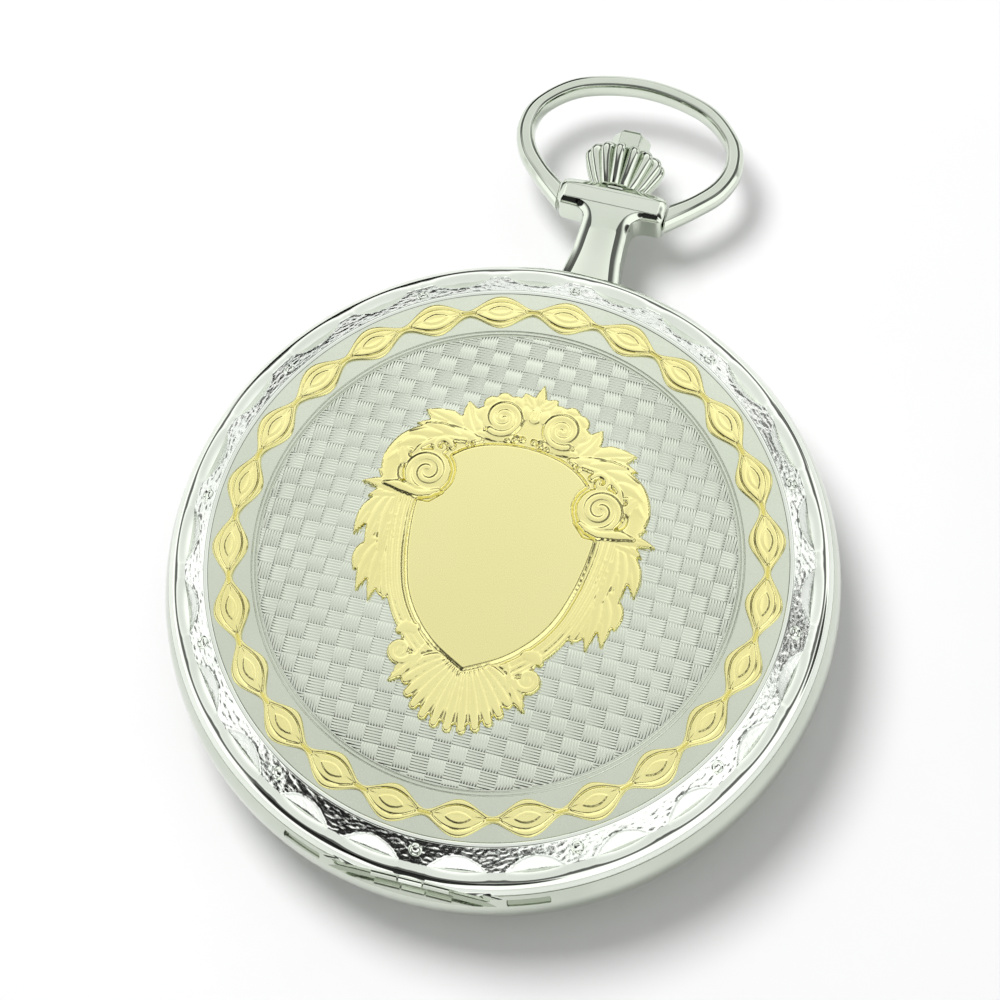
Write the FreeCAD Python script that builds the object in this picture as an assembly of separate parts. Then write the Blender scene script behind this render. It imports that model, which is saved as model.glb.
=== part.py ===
import FreeCAD, Part
import math
import os

os.makedirs("parts", exist_ok=True)
V = FreeCAD.Vector

# Hunter pocket watch, lying on its back. Millimetres.
# +Z is up, out of the dial. +Y runs from 6 o'clock to the pendant at 12, +X to 3 o'clock.
# The origin is on the case axis, in the flat resting face of the back.

# ---- case: driving dimensions ----
CASE_R = 25.0              # widest radius of the case band
BAND_Z = 6.1               # height of the widest radius
BACK_SEAM_Z = 3.2          # seam between back cover and case middle
FRONT_SEAM_Z = 9.2         # seam between case middle and front lid
SEAM_R = 24.45             # band radius at the front seam
BACK_SEAM_R = 24.15        # band radius at the back seam
SEAM_GAP = 0.05            # flat gap at each seam
BACK_FLAT_R = 14.0         # flat resting face of the back
WALL = 0.75                # sheet thickness of lid and back

# ---- front lid ----
DOME_TOP_Z = 13.25         # highest point of the lid
DOME_SPHERE_R = 136.0      # radius of the shallow dome
RIDGE_R = 21.35            # bright ridge between the dome and the engraved chamfer
CHAMFER_R = 23.05          # outer edge of the engraved chamfer
CHAMFER_DROP = 1.1
GROOVE_R = 17.65           # middle of the turned double groove
LID_INNER_R = 23.5         # inside wall of the lid rim
SHIELD_TOP_Y = 8.6         # plain shield in the middle of the lid
SHIELD_HALF_W = 6.85
SHIELD_TIP_Y = -9.3
SHIELD_RISE = 0.12

# ---- lid hinge, at 6 o'clock ----
HINGE_Y = -23.8
HINGE_Z = 9.1
KNUCKLE_R = 0.5
KNUCKLE_GAP = 0.06
HINGE_PIN_R = 0.22
HINGE_FIT = 0.03
KNUCKLE_LEN = 1.9
HINGE_FLAT_Y = -24.05      # small flat cut across lid and band for the hinge
HINGE_FLAT_LEN = 5.8       # half length of the hinge channel

# ---- case middle, inside ----
BORE_R = 20.4              # bore that holds the movement ring and dial
BACK_BORE_R = 23.05        # lower bore that takes the back cover's lip
BACK_BORE_Z = 4.5
BACK_LIP_Z = 3.65          # top of the back cover's snap lip
BEZEL_SEAT_R = 21.5
BEZEL_SEAT_Z = 7.6
CHANNEL_R = (20.9, 22.3)   # channel for the case springs
CHANNEL_Z = 7.2

# ---- crown line: pendant, stem, crown, bow ----
STEM_Z = 5.0               # height of the stem axis
PENDANT_BASE_Y = 24.2
PENDANT_BASE_W = 4.9
PENDANT_NECK_Y = 31.3
PENDANT_NECK_W = 3.1
HEAD_Y = 32.3              # bow pivot axis
HEAD_R = 1.1
HEAD_HALF = 4.2
CROWN_Y = (33.55, 36.8)
CROWN_R = (2.45, 3.1)      # fluted skirt: bottom and widest radius
CROWN_FLUTES = 18
BUTTON_Y = (36.65, 38.1)
BUTTON_AF = 2.7            # hexagon across flats
STEM_R = 0.6
COLLAR_R = 1.2             # release collar on the push rod
ROD_R = 0.26
BOW_WIDTH_Z = 1.9
BOW_PIN_R = 0.45
BOW_FIT = 0.05
BOW_OUTER = [(4.3, 31.3), (6.6, 33.3), (8.3, 35.2), (9.0, 37.6), (8.2, 40.1), (5.2, 42.6), (0.0, 43.6)]
BOW_INNER = [(4.3, 33.4), (5.8, 34.5), (7.15, 36.1), (7.6, 37.9), (6.9, 39.8), (4.4, 41.6), (0.0, 42.4)]

# ---- movement: driving dimensions ----
PLATE_R = 18.3
PLATE_Z = (4.9, 6.3)       # main plate, bridge side and dial side
DIAL_Z = (7.0, 7.4)
DIAL_R = 20.3
BRIDGE_Z = (1.7, 2.9)
BRIDGE_R = 17.6
WINDING_Z = (1.3, 1.62)    # ratchet and crown wheels, on top of the barrel bridge
HAIRSPRING_Z = (2.56, 2.8)
BALANCE_Z = (2.98, 3.34)
MOTION_Z = (6.38, 6.6)     # minute and setting wheels, between main plate and dial
HOUR_HAND_Z = (7.9, 8.05)
MINUTE_HAND_Z = (8.45, 8.6)
SECONDS_HAND_Z = (7.55, 7.67)
PIVOT_R = 0.1
PIVOT_FIT = 0.02
JEWEL_R = 0.62
JEWEL_T = 0.35

# wheels: teeth and module
BARREL_TEETH, BARREL_MODULE = 72, 0.2
CENTRE_PINION = 12
CENTRE_TEETH, CENTRE_MODULE = 80, 0.13
THIRD_PINION = 10
THIRD_TEETH, THIRD_MODULE = 75, 0.125
FOURTH_PINION = 10
FOURTH_TEETH, FOURTH_MODULE = 80, 0.12
ESCAPE_PINION = 8
ESCAPE_TEETH = 15
ESCAPE_R = 2.6
CANNON_TEETH, MINUTE_TEETH, MOTION_MODULE = 12, 36, 0.2
MINUTE_PINION, HOUR_TEETH, HOUR_MODULE = 10, 40, 0.192
SETTING_TEETH = 16
WINDING_TEETH, CONTRATE_TEETH = 14, 28
CROWN_TEETH, RATCHET_TEETH, WINDING_MODULE = 36, 52, 0.2
CONTRATE_R = 2.9


def spacing(module, teeth_a, teeth_b):
    """Distance between the centres of two meshed wheels."""
    return module * (teeth_a + teeth_b) / 2.0


def polar(centre, radius, degrees):
    turn = math.radians(degrees)
    return (centre[0] + radius * math.cos(turn), centre[1] + radius * math.sin(turn))


def bearing(a, b):
    """Direction from a to b, in radians."""
    return math.atan2(b[1] - a[1], b[0] - a[0])


def meeting(a, ra, b, rb):
    """The point ra from a and rb from b, on the right of the line from a to b."""
    apart = math.dist(a, b)
    along = (ra * ra - rb * rb + apart * apart) / (2 * apart)
    aside = math.sqrt(ra * ra - along * along)
    ux, uy = (b[0] - a[0]) / apart, (b[1] - a[1]) / apart
    return (a[0] + ux * along - uy * aside, a[1] + uy * along + ux * aside)


# places of the arbors
CENTRE = (0.0, 0.0)
BARREL = polar(CENTRE, spacing(BARREL_MODULE, BARREL_TEETH, CENTRE_PINION), 131.8)
FOURTH = (0.0, -9.6)
THIRD = meeting(CENTRE, spacing(CENTRE_MODULE, CENTRE_TEETH, THIRD_PINION),
                FOURTH, spacing(THIRD_MODULE, THIRD_TEETH, FOURTH_PINION))
ESCAPE = polar(FOURTH, spacing(FOURTH_MODULE, FOURTH_TEETH, ESCAPE_PINION), 155)
LEVER_LINE = 160           # direction of the straight lever line, escape wheel to balance
PALLET = polar(ESCAPE, ESCAPE_R / math.cos(math.radians(30)), LEVER_LINE)
BALANCE = polar(PALLET, 3.3, LEVER_LINE)
BALANCE_R = 5.2
MINUTE = (0.0, spacing(MOTION_MODULE, CANNON_TEETH, MINUTE_TEETH))
SETTING = (0.0, MINUTE[1] + spacing(MOTION_MODULE, MINUTE_TEETH, SETTING_TEETH))
CROWN_WHEEL = (0.0, BARREL[1] + math.sqrt(
    spacing(WINDING_MODULE, CROWN_TEETH, RATCHET_TEETH) ** 2 - BARREL[0] ** 2))

# case springs
SPRING_R = 21.9
SPRING_SCREW_TIP_Z = 7.55
LOCK_SCREW = polar(CENTRE, 21.6, 32)
LIFT_SCREW = polar(CENTRE, 21.6, 150)


# ---- basic shapes ----
def cylinder(radius, z0, z1, at=CENTRE):
    return Part.makeCylinder(radius, z1 - z0, V(at[0], at[1], z0))


def ring(r_in, r_out, z0, z1, at=CENTRE):
    return cylinder(r_out, z0, z1, at).cut(cylinder(r_in, z0 - 1, z1 + 1, at))


def bar_y(radius, y0, y1):
    """Cylinder on the stem axis."""
    return Part.makeCylinder(radius, y1 - y0, V(0, y0, STEM_Z), V(0, 1, 0))


def bar_x(radius, x0, x1, y, z):
    return Part.makeCylinder(radius, x1 - x0, V(x0, y, z), V(1, 0, 0))


def block(x0, x1, y0, y1, z0, z1):
    return Part.makeBox(x1 - x0, y1 - y0, z1 - z0, V(x0, y0, z0))


def edges_through(start, steps):
    """Lines to points (a, b), and arcs through a mid point to an end point ((a, b), (c, d))."""
    edges, here = [], V(start[0], 0, start[1])
    for step in list(steps) + [start]:
        if isinstance(step[0], tuple):
            mid, end = (V(p[0], 0, p[1]) for p in step)
            edges.append(Part.Arc(here, mid, end).toShape())
        else:
            end = V(step[0], 0, step[1])
            if (end - here).Length < 1e-9:
                continue
            edges.append(Part.LineSegment(here, end).toShape())
        here = end
    return edges


def lathe(start, *steps):
    """Solid of revolution about Z, from a closed outline of (radius, height)."""
    face = Part.Face(Part.Wire(edges_through(start, steps)))
    return face.revolve(V(0, 0, 0), V(0, 0, 1), 360)


def to_stem(shape):
    """Turns a shape made about Z so that its heights run along the stem axis."""
    shape.rotate(V(0, 0, 0), V(1, 0, 0), -90)
    shape.translate(V(0, 0, STEM_Z))
    return shape


def plate(points, z0, z1):
    """Prism over a closed polygon."""
    corners = [V(x, y, z0) for x, y in points]
    face = Part.Face(Part.makePolygon(corners + corners[:1]))
    return face.extrude(V(0, 0, z1 - z0))


def joined(*shapes):
    solid = shapes[0]
    for other in shapes[1:]:
        solid = solid.fuse(other)
    return solid.removeSplitter()


def without(solid, *tools):
    for tool in tools:
        solid = solid.cut(tool)
    return solid


def stadium(a, b, half_width, z0, z1):
    """Straight arm with round ends, from a to b."""
    turn = bearing(a, b)
    sx, sy = -math.sin(turn) * half_width, math.cos(turn) * half_width
    arm = plate([(a[0] + sx, a[1] + sy), (a[0] - sx, a[1] - sy),
                 (b[0] - sx, b[1] - sy), (b[0] + sx, b[1] + sy)], z0, z1)
    return joined(arm, cylinder(half_width, z0, z1, a), cylinder(half_width, z0, z1, b))


def arc_band(radius, width, start_deg, end_deg, z0, z1):
    """Part of a ring about the case axis."""
    steps = 24
    turns = [start_deg + (end_deg - start_deg) * i / steps for i in range(steps + 1)]
    outer = [polar(CENTRE, radius + width / 2, t) for t in turns]
    inner = [polar(CENTRE, radius - width / 2, t) for t in reversed(turns)]
    return plate(outer + inner, z0, z1)


# ---- toothed wheels ----
PRESSURE = math.radians(20)


def tooth_outline(teeth, module, phase, head, foot, share, at):
    """Involute wheel outline. share is the tooth's part of the pitch, phase a tooth's middle."""
    pitch_r = teeth * module / 2.0
    base_r = pitch_r * math.cos(PRESSURE)
    tip_r, root_r = pitch_r + head * module, pitch_r - foot * module
    half = math.pi * share / teeth

    def roll(radius):
        angle = math.acos(min(1.0, base_r / radius))
        return math.tan(angle) - angle

    low = max(root_r, base_r)
    radii = [low + (tip_r - low) * i / 3.0 for i in range(4)]
    flank = [(r, half + roll(pitch_r) - roll(r)) for r in radii]
    if root_r < base_r:
        flank = [(root_r, flank[0][1])] + flank
    points = []
    for i in range(teeth):
        middle = phase + 2 * math.pi * i / teeth
        side = [(r, middle - a) for r, a in flank] + [(r, middle + a) for r, a in reversed(flank)]
        points += [(at[0] + r * math.cos(a), at[1] + r * math.sin(a)) for r, a in side]
    return points


def wheel(teeth, module, phase, z0, z1, at):
    return plate(tooth_outline(teeth, module, phase, 0.85, 1.2, 0.44, at), z0, z1)


def pinion(leaves, module, phase, z0, z1, at):
    return plate(tooth_outline(leaves, module, phase, 0.75, 1.15, 0.34, at), z0, z1)


def facing_phase(teeth_a, phase_a, teeth_b, direction):
    """Phase of wheel b so that a gap faces wheel a's tooth. direction runs from a to b."""
    return direction + math.pi - teeth_a / teeth_b * (phase_a - direction) - math.pi / teeth_b


def spokes(count, r_hub, r_rim, width, z0, z1, at, turn=0.0):
    """The windows between a wheel's arms."""
    windows = []
    for i in range(count):
        mid = turn + 360.0 * (i + 0.5) / count
        reach = 360.0 / count
        trim_hub = math.degrees(math.asin(min(1, width / 2 / r_hub)))
        trim_rim = math.degrees(math.asin(width / 2 / r_rim))
        outer = [polar(at, r_rim, mid + (reach / 2 - trim_rim) * k / 4.0) for k in range(-4, 5)]
        inner = [polar(at, r_hub, mid - (reach / 2 - trim_hub) * k / 4.0) for k in range(-4, 5)]
        windows.append(plate(outer + inner, z0 - 0.5, z1 + 0.5))
    return windows


def arbor(at, z0, z1, radius=0.2):
    """Arbor with a thin pivot at each end."""
    shoulder = 0.45
    return joined(cylinder(radius, z0 + shoulder, z1 - shoulder, at), cylinder(PIVOT_R, z0, z1, at))


def screw(at, head_z, tip_z, head_r=0.75, shank_r=0.4, head_t=0.45):
    """Slotted screw. The head is at head_z and the shank ends at tip_z."""
    up = 1 if tip_z > head_z else -1
    z_in = head_z + up * head_t
    head = cylinder(head_r, min(head_z, z_in), max(head_z, z_in), at)
    shank = cylinder(shank_r, min(z_in, tip_z), max(z_in, tip_z), at)
    slot_z = head_z + up * 0.15
    slot = block(at[0] - 1.5, at[0] + 1.5, at[1] - 0.1, at[1] + 0.1,
                 min(head_z, slot_z) - 0.01, max(head_z, slot_z) + 0.01)
    return joined(head, shank).cut(slot)


def screw_seat(at, head_z, tip_z, head_r=0.75, shank_r=0.4, head_t=0.45):
    """Counterbored hole for that screw."""
    up = 1 if tip_z > head_z else -1
    z_in = head_z + up * head_t
    out_z = head_z - up * 2
    return joined(cylinder(head_r, min(out_z, z_in), max(out_z, z_in), at),
                  cylinder(shank_r, min(z_in, tip_z), max(z_in, tip_z), at))


# ---- case ----
def cap_z(radius, top_z, sphere_r):
    """Height of a spherical cap centred on the case axis."""
    return top_z - sphere_r + math.sqrt(sphere_r * sphere_r - radius * radius)


def dome_z(radius, below=0.0):
    """Height of the lid's dome, or of the parallel sphere inside it."""
    return cap_z(radius, DOME_TOP_Z - below, DOME_SPHERE_R - below)


def cap_sphere(top_z, rim_r, rim_z):
    """Radius of the cap that falls from top_z to rim_z at rim_r."""
    fall = top_z - rim_z
    return (rim_r * rim_r + fall * fall) / (2 * fall)


def hinge_channel():
    return bar_x(KNUCKLE_R + KNUCKLE_GAP, -HINGE_FLAT_LEN, HINGE_FLAT_LEN, HINGE_Y, HINGE_Z)


def hinge_flat(z0, z1):
    return block(-8, 8, -30, HINGE_FLAT_Y, z0, z1)


def knuckle(x0, x1, y0, y1, z0, z1):
    """Hinge knuckle with the web that ties it to its wall."""
    tube = bar_x(KNUCKLE_R, x0, x1, HINGE_Y, HINGE_Z)
    return joined(tube, block(x0, x1, y0, y1, z0, z1))


def hinge_bore():
    return bar_x(HINGE_PIN_R + HINGE_FIT, -20, 20, HINGE_Y, HINGE_Z)


def make_case_middle():
    band = lathe((BACK_SEAM_R, BACK_SEAM_Z), ((CASE_R, BAND_Z), (SEAM_R, FRONT_SEAM_Z)),
                 (BEZEL_SEAT_R, FRONT_SEAM_Z), (BEZEL_SEAT_R, BEZEL_SEAT_Z), (BORE_R, BEZEL_SEAT_Z),
                 (BORE_R, BACK_BORE_Z), (BACK_BORE_R, BACK_BORE_Z), (BACK_BORE_R, BACK_SEAM_Z))
    channel = ring(CHANNEL_R[0], CHANNEL_R[1], BACK_BORE_Z - 0.5, CHANNEL_Z)
    stem_room = joined(bar_y(1.35, 22.6, 25.6), bar_y(0.75, 18, 23))
    catch_room = block(-1.85, 1.85, 20.9, 23.05, BACK_BORE_Z - 0.3, 12)
    band = without(band, channel, stem_room, catch_room, hinge_flat(7.9, 12), hinge_channel())
    for side in (-1, 1):
        x0, x1 = sorted((side * (KNUCKLE_LEN / 2 + 0.04), side * (KNUCKLE_LEN * 1.5 + 0.04)))
        band = joined(band, knuckle(x0, x1, HINGE_FLAT_Y, HINGE_Y + KNUCKLE_R, HINGE_Z - 0.9, HINGE_Z))
    for notch_deg in (250, 290):
        cup = Part.makeCylinder(1.6, 6, V(*polar(CENTRE, 24.1, notch_deg), 8.35),
                                V(math.cos(math.radians(notch_deg)), math.sin(math.radians(notch_deg)), 0))
        band = band.cut(cup.common(ring(24.55, 30, 7.9, 8.8)))
    holes = [cylinder(0.27, CHANNEL_Z - 0.1, SPRING_SCREW_TIP_Z, at) for at in (LOCK_SCREW, LIFT_SCREW)]
    return without(band, hinge_bore(), *holes)


def make_front_lid():
    ridge_z = dome_z(RIDGE_R)
    chamfer_z = ridge_z - CHAMFER_DROP
    low = FRONT_SEAM_Z + SEAM_GAP
    inner_r = RIDGE_R - 0.45
    shell = lathe((0, DOME_TOP_Z), ((RIDGE_R / 2, dome_z(RIDGE_R / 2)), (RIDGE_R, ridge_z)),
                  (CHAMFER_R, chamfer_z), ((SEAM_R - 0.3, chamfer_z - 0.45), (SEAM_R - 0.05, low)),
                  (LID_INNER_R, low), (LID_INNER_R, low + 0.55), (CHAMFER_R - 0.45, chamfer_z - 0.47),
                  (inner_r, dome_z(inner_r, WALL)),
                  ((inner_r / 2, dome_z(inner_r / 2, WALL)), (0, DOME_TOP_Z - WALL)))
    grooves = [ring(r - 0.08, r + 0.08, dome_z(r) - 0.08, DOME_TOP_Z)
               for r in (GROOVE_R - 0.14, GROOVE_R + 0.14)]
    shell = without(shell, hinge_flat(low - 1, 12), *grooves)
    shell = shell.cut(hinge_channel())
    half = KNUCKLE_LEN / 2 - 0.04
    web = knuckle(-half, half, HINGE_Y - 0.25, HINGE_Y + KNUCKLE_R, HINGE_Z, HINGE_Z + 1.1)
    catch_lip = block(-1.2, 1.2, 23.15, LID_INNER_R + 0.2, low + 0.02, low + 0.2)
    return joined(shell, web, catch_lip, make_shield()).cut(hinge_bore())


def make_shield():
    """Plain raised shield: arched top, full sides that round in to a pointed foot."""
    top, tip, wide = SHIELD_TOP_Y, SHIELD_TIP_Y, SHIELD_HALF_W
    shoulder, hip = (5.6, top - 0.9), (6.3, -2.2)

    def side(sign):
        def at(x, y):
            return V(sign * x, y, 0)
        return [Part.Arc(at(0, top), at(3.0, top - 0.25), at(*shoulder)),
                Part.Arc(at(*shoulder), at(wide, 2.4), at(*hip)),
                Part.Arc(at(*hip), at(3.75, -6.7), at(0, tip))]

    edges = [curve.toShape() for curve in side(1)] + [curve.toShape() for curve in side(-1)]
    face = Part.Face(Part.Wire(Part.__sortEdges__(edges)))
    column = face.extrude(V(0, 0, DOME_TOP_Z + 2))
    skin_r, under = 11.0, 0.2
    skin = lathe((0, DOME_TOP_Z + SHIELD_RISE),
                 ((skin_r / 2, dome_z(skin_r / 2, -SHIELD_RISE)), (skin_r, dome_z(skin_r, -SHIELD_RISE))),
                 (skin_r, dome_z(skin_r, under)),
                 ((skin_r / 2, dome_z(skin_r / 2, under)), (0, DOME_TOP_Z - under)))
    return column.common(skin)


def make_hinge_pin():
    half = KNUCKLE_LEN * 1.5 + 0.04
    return bar_x(HINGE_PIN_R, -half, half, HINGE_Y, HINGE_Z)


def make_back_cover():
    top = BACK_SEAM_Z - SEAM_GAP
    lip_r = BACK_BORE_R - 0.15
    return lathe((0, 0), (BACK_FLAT_R, 0), ((19.0, 0.3), (21.4, 0.75)), (22.9, 1.6),
                 ((23.75, 2.2), (BACK_SEAM_R, top)), (lip_r, top), (lip_r, BACK_LIP_Z),
                 (lip_r - 0.6, BACK_LIP_Z), (lip_r - 0.6, 2.4), (20.8, 1.35),
                 ((18.5, 0.95), (BACK_FLAT_R, WALL)), (0, WALL))


def make_crystal_bezel():
    seat = BEZEL_SEAT_R
    bezel = lathe((seat, BEZEL_SEAT_Z), (seat, FRONT_SEAM_Z), (22.6, FRONT_SEAM_Z), (22.6, 9.35),
                  ((22.1, 9.9), (21.3, 10.2)), (20.9, 10.3), (20.9, 9.5), (20.0, 9.5), (20.0, 9.1),
                  (20.6, BEZEL_SEAT_Z))
    return bezel.cut(block(-1.85, 1.85, 21.15, 24, 7, 12))


def make_crystal():
    edge, inner_edge = 20.9, 20.2
    top_z, edge_z, under_z, foot_z = 11.6, 10.15, 10.7, 9.5
    outer = cap_sphere(top_z, edge, edge_z)
    inner = cap_sphere(under_z, inner_edge, foot_z)
    over = (edge / 2, cap_z(edge / 2, top_z, outer))
    under = (inner_edge / 2, cap_z(inner_edge / 2, under_z, inner))
    return lathe((0, top_z), (over, (edge, edge_z)), (edge, foot_z), (inner_edge, foot_z),
                 (under, (0, under_z)))


def make_movement_ring():
    body = ring(PLATE_R + 0.02, BORE_R, PLATE_Z[0], DIAL_Z[0])
    return body.cut(block(-1.2, 2.4, 17, 22, 3, 8))


def make_lock_spring():
    """Curved spring with the catch at 12 o'clock. Its foot straddles the stem."""
    band = arc_band(SPRING_R, 0.4, 32, 86, 4.8, 6.8)
    foot = cylinder(0.55, 4.8, 6.8, LOCK_SCREW)
    catch = block(-1.4, 1.5, 22.3, 22.8, 4.6, 9.75)
    hook = block(-1.1, 1.1, 22.3, 22.98, 9.5, 9.75)
    tie = block(1.1, 1.6, 21.75, 22.8, 5.9, 6.8)
    body = joined(band, foot, tie, catch, hook)
    return without(body, block(-0.7, 1.1, 21, 23, 4, 5.75),
                   screw_seat(LOCK_SCREW, 4.3, SPRING_SCREW_TIP_Z, 0.5, 0.3, 0.5))


def make_lift_spring():
    """Long curved spring that throws the lid open."""
    band = arc_band(SPRING_R - 0.2, 0.4, 150, 262, 4.8, 6.8)
    foot = cylinder(0.55, 4.8, 6.8, LIFT_SCREW)
    tip = arc_band(SPRING_R - 0.2, 0.7, 258, 264, 4.8, 7.0)
    return joined(band, foot, tip).cut(screw_seat(LIFT_SCREW, 4.3, SPRING_SCREW_TIP_Z, 0.5, 0.3, 0.5))


def spring_screw(at):
    return screw(at, 4.55, SPRING_SCREW_TIP_Z, 0.5, 0.27, 0.25)


# ---- crown line ----
def octagon(width, depth, y):
    """Eight-sided section across the stem axis."""
    w, d, cut = width / 2, depth / 2, 0.28
    corners = [(w, d * cut), (w * cut, d), (-w * cut, d), (-w, d * cut),
               (-w, -d * cut), (-w * cut, -d), (w * cut, -d), (w, -d * cut)]
    points = [V(x, y, STEM_Z + z) for x, z in corners]
    return Part.makePolygon(points + points[:1])


def make_pendant(case_middle):
    """Faceted neck on the case band, with a cross head that holds the bow."""
    sections = [octagon(PENDANT_BASE_W, 4.4, PENDANT_BASE_Y), octagon(3.6, 3.3, 28.4),
                octagon(PENDANT_NECK_W, 2.9, PENDANT_NECK_Y)]
    neck = Part.makeLoft(sections, True, True)
    head = bar_x(HEAD_R, -HEAD_HALF, HEAD_HALF, HEAD_Y, STEM_Z)
    collar = to_stem(lathe((0, 31.0), (1.6, 31.0), (2.15, 32.6), (2.15, 33.4), (0, 33.4)))
    body = joined(neck, head, collar)
    bores = [bar_x(BOW_PIN_R + BOW_FIT, side * 3.3 if side > 0 else -6, 6 if side > 0 else -3.3,
                   HEAD_Y, STEM_Z) for side in (-1, 1)]
    return without(body, bar_y(STEM_R + 0.08, 20, 40), bar_y(1.35, 20, 25.6), case_middle, *bores)


def bow_curve(points):
    """Smooth curve through half the outline and its mirror image."""
    mirrored = [(-x, y) for x, y in points]
    path = points + mirrored[-2::-1]
    curve = Part.BSplineCurve()
    curve.interpolate([V(x, y, 0) for x, y in path])
    return curve.toShape()


def make_bow():
    """Wide oval ring in the plane of the watch, with a pin at each end."""
    outer, inner = bow_curve(BOW_OUTER), bow_curve(BOW_INNER)
    ends = [Part.LineSegment(V(s * BOW_OUTER[0][0], BOW_OUTER[0][1], 0),
                             V(s * BOW_INNER[0][0], BOW_INNER[0][1], 0)).toShape() for s in (-1, 1)]
    face = Part.Face(Part.Wire(Part.__sortEdges__([outer, inner] + ends)))
    loop = face.extrude(V(0, 0, BOW_WIDTH_Z))
    loop.translate(V(0, 0, STEM_Z - BOW_WIDTH_Z / 2))
    pins = [bar_x(BOW_PIN_R, min(s * 3.45, s * 4.6), max(s * 3.45, s * 4.6), HEAD_Y, STEM_Z)
            for s in (-1, 1)]
    return joined(loop, *pins)


def make_crown():
    """Hollow crown with round flutes and a recess for the push button."""
    y0, y1 = CROWN_Y
    low_r, wide_r = CROWN_R
    shoulder_y = y0 + 2.1
    crown = to_stem(lathe((0, y0), (low_r, y0), (wide_r, shoulder_y), ((wide_r - 0.2, y0 + 2.8), (2.1, y1)),
                          (0, y1)))
    crown = without(crown, bar_y(1.65, y1 - 1.05, y1 + 2), bar_y(STEM_R, y0 - 1, y0 + 1.2),
                    bar_y(ROD_R + 0.06, y0 - 1, y1 + 1))
    for i in range(CROWN_FLUTES):
        turn = 2 * math.pi * (i + 0.5) / CROWN_FLUTES
        foot = V((low_r + 0.02) * math.cos(turn), y0 - 0.2, STEM_Z + (low_r + 0.02) * math.sin(turn))
        top = V((wide_r + 0.1) * math.cos(turn), y0 + 3.6, STEM_Z + (wide_r + 0.1) * math.sin(turn))
        crown = crown.cut(Part.makeCylinder(0.26, (top - foot).Length, foot, top - foot))
    return crown


def make_winding_stem():
    """Hollow outer stem, stepped down to the square and the pilot inside the movement."""
    stem = joined(bar_y(STEM_R, 18.6, CROWN_Y[0] + 1.2), bar_y(0.5, 17.5, 18.6), bar_y(0.3, 16.9, 17.5),
                  bar_y(0.42, 12.4, 16.9), bar_y(0.18, 10.8, 12.4))
    bore = bar_y(ROD_R + 0.06, 22.3, 40)
    slot = block(-2, 2, 22.35, 23.65, STEM_Z - 0.19, STEM_Z + 0.19)
    return without(stem, bore, slot)


def make_lid_button():
    y0, y1 = BUTTON_Y
    reach = BUTTON_AF / 2 / math.cos(math.radians(30))
    flat = [polar((0, STEM_Z), reach, 60 * k) for k in range(6)]
    corners = [V(x, y0, z) for x, z in flat]
    prism = Part.Face(Part.makePolygon(corners + corners[:1])).extrude(V(0, y1 - y0, 0))
    return prism.common(to_stem(lathe((0, y0), (1.6, y0), (1.6, y1 - 0.45), (1.15, y1), (0, y1))))


def make_push_rod():
    rod = bar_y(ROD_R, 23.15, BUTTON_Y[0])
    return rod.cut(bar_x(0.15, -2, 2, 23.4, STEM_Z))


def make_cross_pin():
    return bar_x(0.15, -1.05, 1.05, 23.4, STEM_Z)


def make_release_collar():
    body = bar_y(COLLAR_R, 23.0, 23.8).cut(bar_y(STEM_R + 0.06, 22, 25))
    return body.cut(bar_x(0.15, -COLLAR_R, COLLAR_R, 23.4, STEM_Z))


def face_teeth(count, radius, half_length, thick, z0, z1, at):
    """Upright blocks round a circle, the first one at 12 o'clock."""
    teeth = []
    for i in range(count):
        tooth = block(-thick / 2, thick / 2, radius - half_length, radius + half_length, z0, z1)
        tooth.rotate(V(0, 0, 0), V(0, 0, 1), 360.0 * i / count)
        tooth.translate(V(at[0], at[1], 0))
        teeth.append(tooth)
    return teeth


def make_winding_pinion():
    """Pinion that turns with the stem and drives the contrate wheel."""
    y0 = CROWN_WHEEL[1] + CONTRATE_R - 0.35
    body = bar_y(1.33, y0, y0 + 0.7)
    for i in range(WINDING_TEETH):
        tooth = block(-0.1, 0.1, y0, y0 + 0.7, -1.62, -1.2)
        tooth.rotate(V(0, 0, 0), V(0, 1, 0), 360.0 * i / WINDING_TEETH)
        tooth.translate(V(0, 0, STEM_Z))
        body = body.fuse(tooth)
    return body.removeSplitter().cut(bar_y(0.47, 10, 20))


def make_clutch():
    """Sliding clutch on the square of the stem, with a groove for the yoke."""
    y0, y1 = 13.4, 15.2
    body = joined(bar_y(1.0, y0, y0 + 0.6), bar_y(0.72, y0, y1), bar_y(1.0, y1 - 0.6, y1))
    for i in range(10):
        notch = block(-0.12, 0.12, y0 - 0.2, y0 + 0.2, 0.6, 1.3)
        notch.rotate(V(0, 0, 0), V(0, 1, 0), 36.0 * i)
        notch.translate(V(0, 0, STEM_Z))
        body = body.cut(notch)
    return body.cut(bar_y(0.47, 10, 20))


LEVER_PIVOT = (2.9, 17.45)
YOKE_PIVOT = (4.4, 13.9)


def make_setting_lever():
    """Lever whose pin sits in the groove of the stem."""
    nose = (0.9, 17.2)
    arm = stadium(LEVER_PIVOT, nose, 0.45, 6.4, 6.65)
    pin = cylinder(0.18, STEM_Z, 6.4, (0.5, 17.2))
    finger = stadium(nose, (0.5, 17.2), 0.28, 6.4, 6.65)
    return joined(arm, finger, pin).cut(cylinder(0.26, 6, 7, LEVER_PIVOT))


def make_yoke():
    """Lever that slides the clutch."""
    nose = (0.95, 14.3)
    arm = stadium(YOKE_PIVOT, nose, 0.4, 6.4, 6.65)
    tooth = cylinder(0.16, 5.2, 6.4, (0.95, 14.3))
    return joined(arm, tooth).cut(cylinder(0.26, 6, 7, YOKE_PIVOT))


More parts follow.
